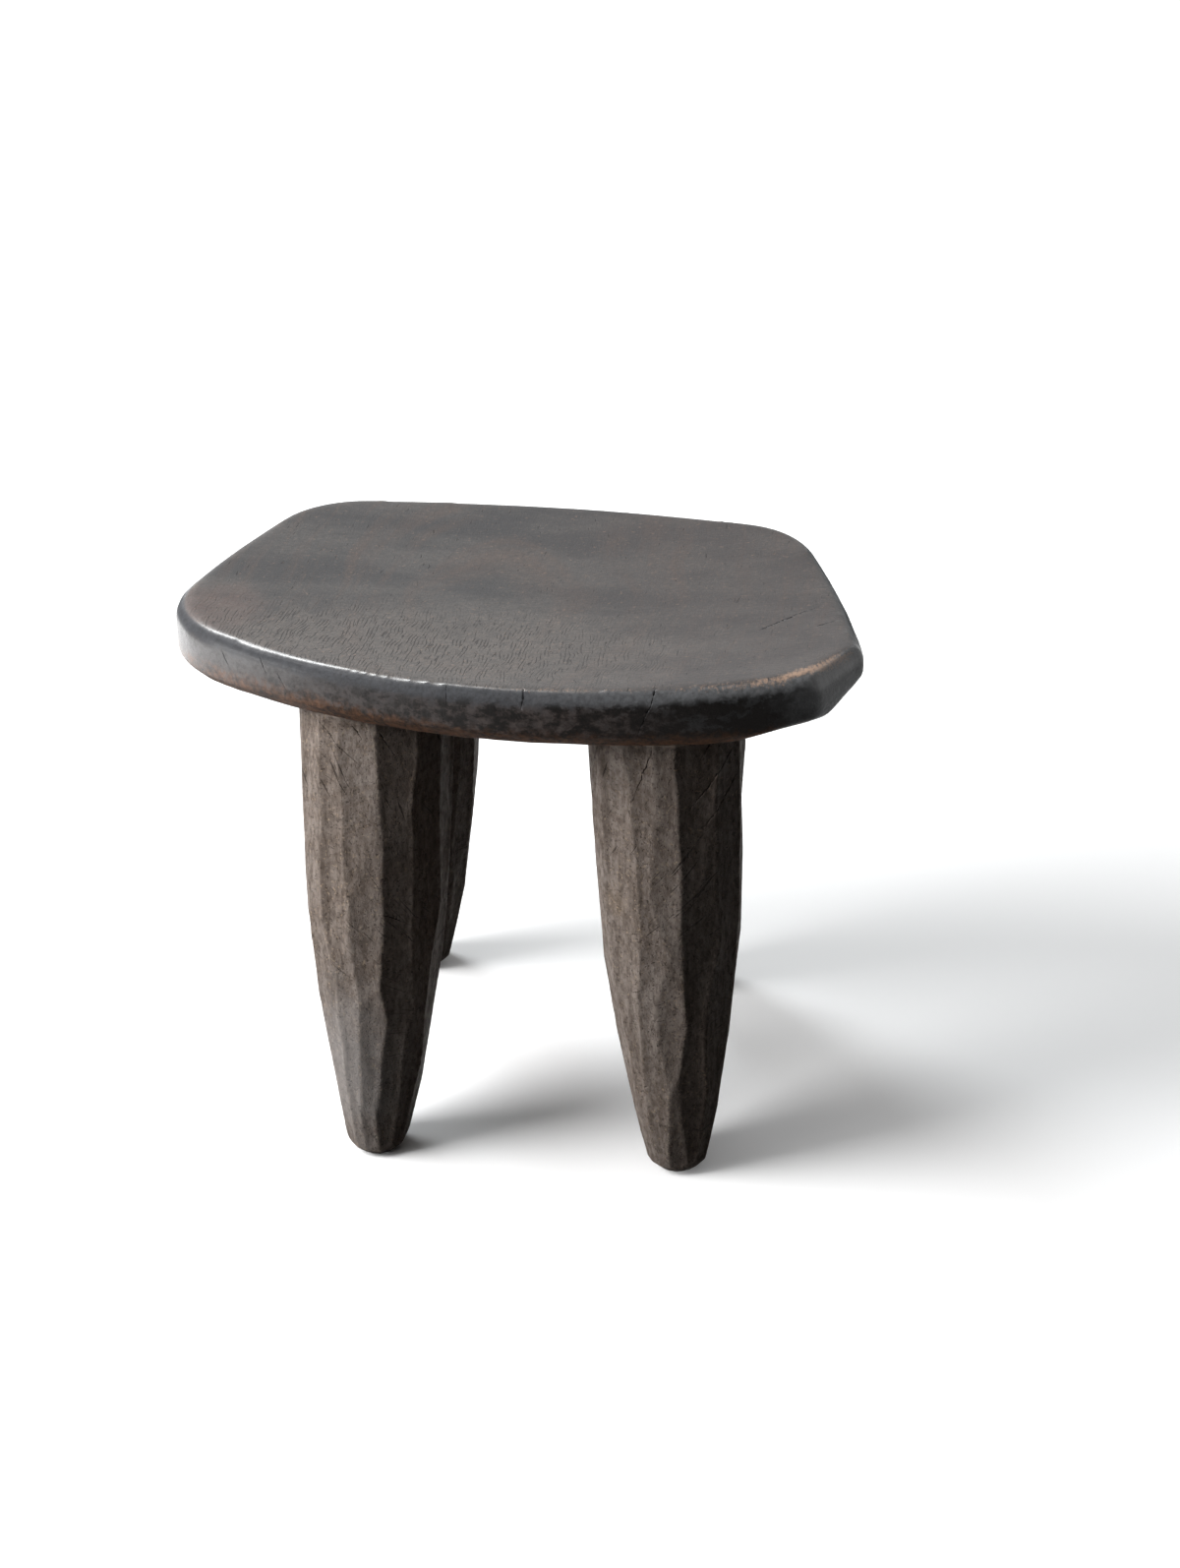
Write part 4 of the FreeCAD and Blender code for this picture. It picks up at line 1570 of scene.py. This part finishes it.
FRONT_LEFT_CHECKS = (
    Check(Face.FRONT, ((-91.5, 259.0), (-80.0, 247.5), (-67.0, 236.0)), 0.6, 2.0),
    Check(Face.FRONT, ((-71.5, 258.5), (-66.5, 251.0)), 0.5, 1.6),
    Check(Face.FRONT, ((-57.5, 255.0), (-50.5, 241.5)), 0.6, 1.8),
    Check(Face.FRONT, ((-91.0, 241.0), (-85.5, 237.0)), 0.3, 1.2),
    Check(Face.FRONT, ((-88.0, 228.7), (-79.5, 225.5)), 0.5, 1.6),
    Check(Face.FRONT, ((-86.5, 208.5), (-80.5, 207.0)), 0.3, 1.2),
    Check(Face.FRONT, ((-59.5, 155.0), (-54.0, 152.0), (-47.0, 146.5)), 0.7, 2.5),
    Check(Face.FRONT, ((-71.0, 67.2), (-67.5, 65.6)), 0.9, 1.4),
)

FRONT_RIGHT_CHECKS = (
    Check(Face.FRONT, ((81.5, 260.0), (77.0, 246.0), (71.0, 228.5)), 0.4, 1.4),
    Check(Face.FRONT, ((110.0, 261.0), (104.5, 251.5)), 0.9, 2.0),
    Check(Face.FRONT, ((119.0, 251.5), (110.0, 239.0), (99.5, 226.0)), 1.2, 2.6),
    Check(Face.FRONT, ((121.0, 236.0), (113.5, 224.5), (106.0, 214.5)), 1.2, 2.6),
)


def main() -> None:
    """Build the stool's pieces and the studio round them."""
    logging.basicConfig(level=logging.INFO, format="%(name)s: %(message)s")
    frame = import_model()
    effects = Effects()
    seat_wood = SeatFinish(
        name="rubbed_black_wood", body=(0.071, 0.066, 0.063), shade=(0.038, 0.037, 0.038),
        warm=(0.088, 0.06, 0.048), bare=(0.42, 0.275, 0.19),
        gloss=0.35, dull=0.45, shine=0.08).make(effects)
    leg_wood = LegFinish(
        name="hewn_brown_wood", body=(0.217, 0.185, 0.165), shade=(0.036, 0.025, 0.018),
        warm=(0.118, 0.086, 0.067), bare=(0.36, 0.3, 0.25),
        gloss=0.5, dull=0.7, shine=0.02).make(effects)
    leg_checks = {"leg_front_left": FRONT_LEFT_CHECKS, "leg_front_right": FRONT_RIGHT_CHECKS}
    pieces: list[HewnPiece] = [
        Seat("seat", seat_wood, voxel=1.5 * MM, soften=4, scoop=(0.022, 0.022, 0.014),
             bite=0.6 * MM, swell=0.5 * MM, checks=SEAT_CHECKS, rubs=SEAT_RUBS)]
    for node in sorted(frame["nodes"]):
        if node.startswith("leg"):
            pieces.append(Leg(node, leg_wood, voxel=0.95 * MM, soften=1, scoop=(0.012, 0.012, 0.03),
                              bite=0.12 * MM, swell=0.25 * MM, checks=leg_checks.get(node, ())))
    for piece in pieces:
        piece.build(frame)
    Studio().build()


if __name__ == "__main__":
    main()
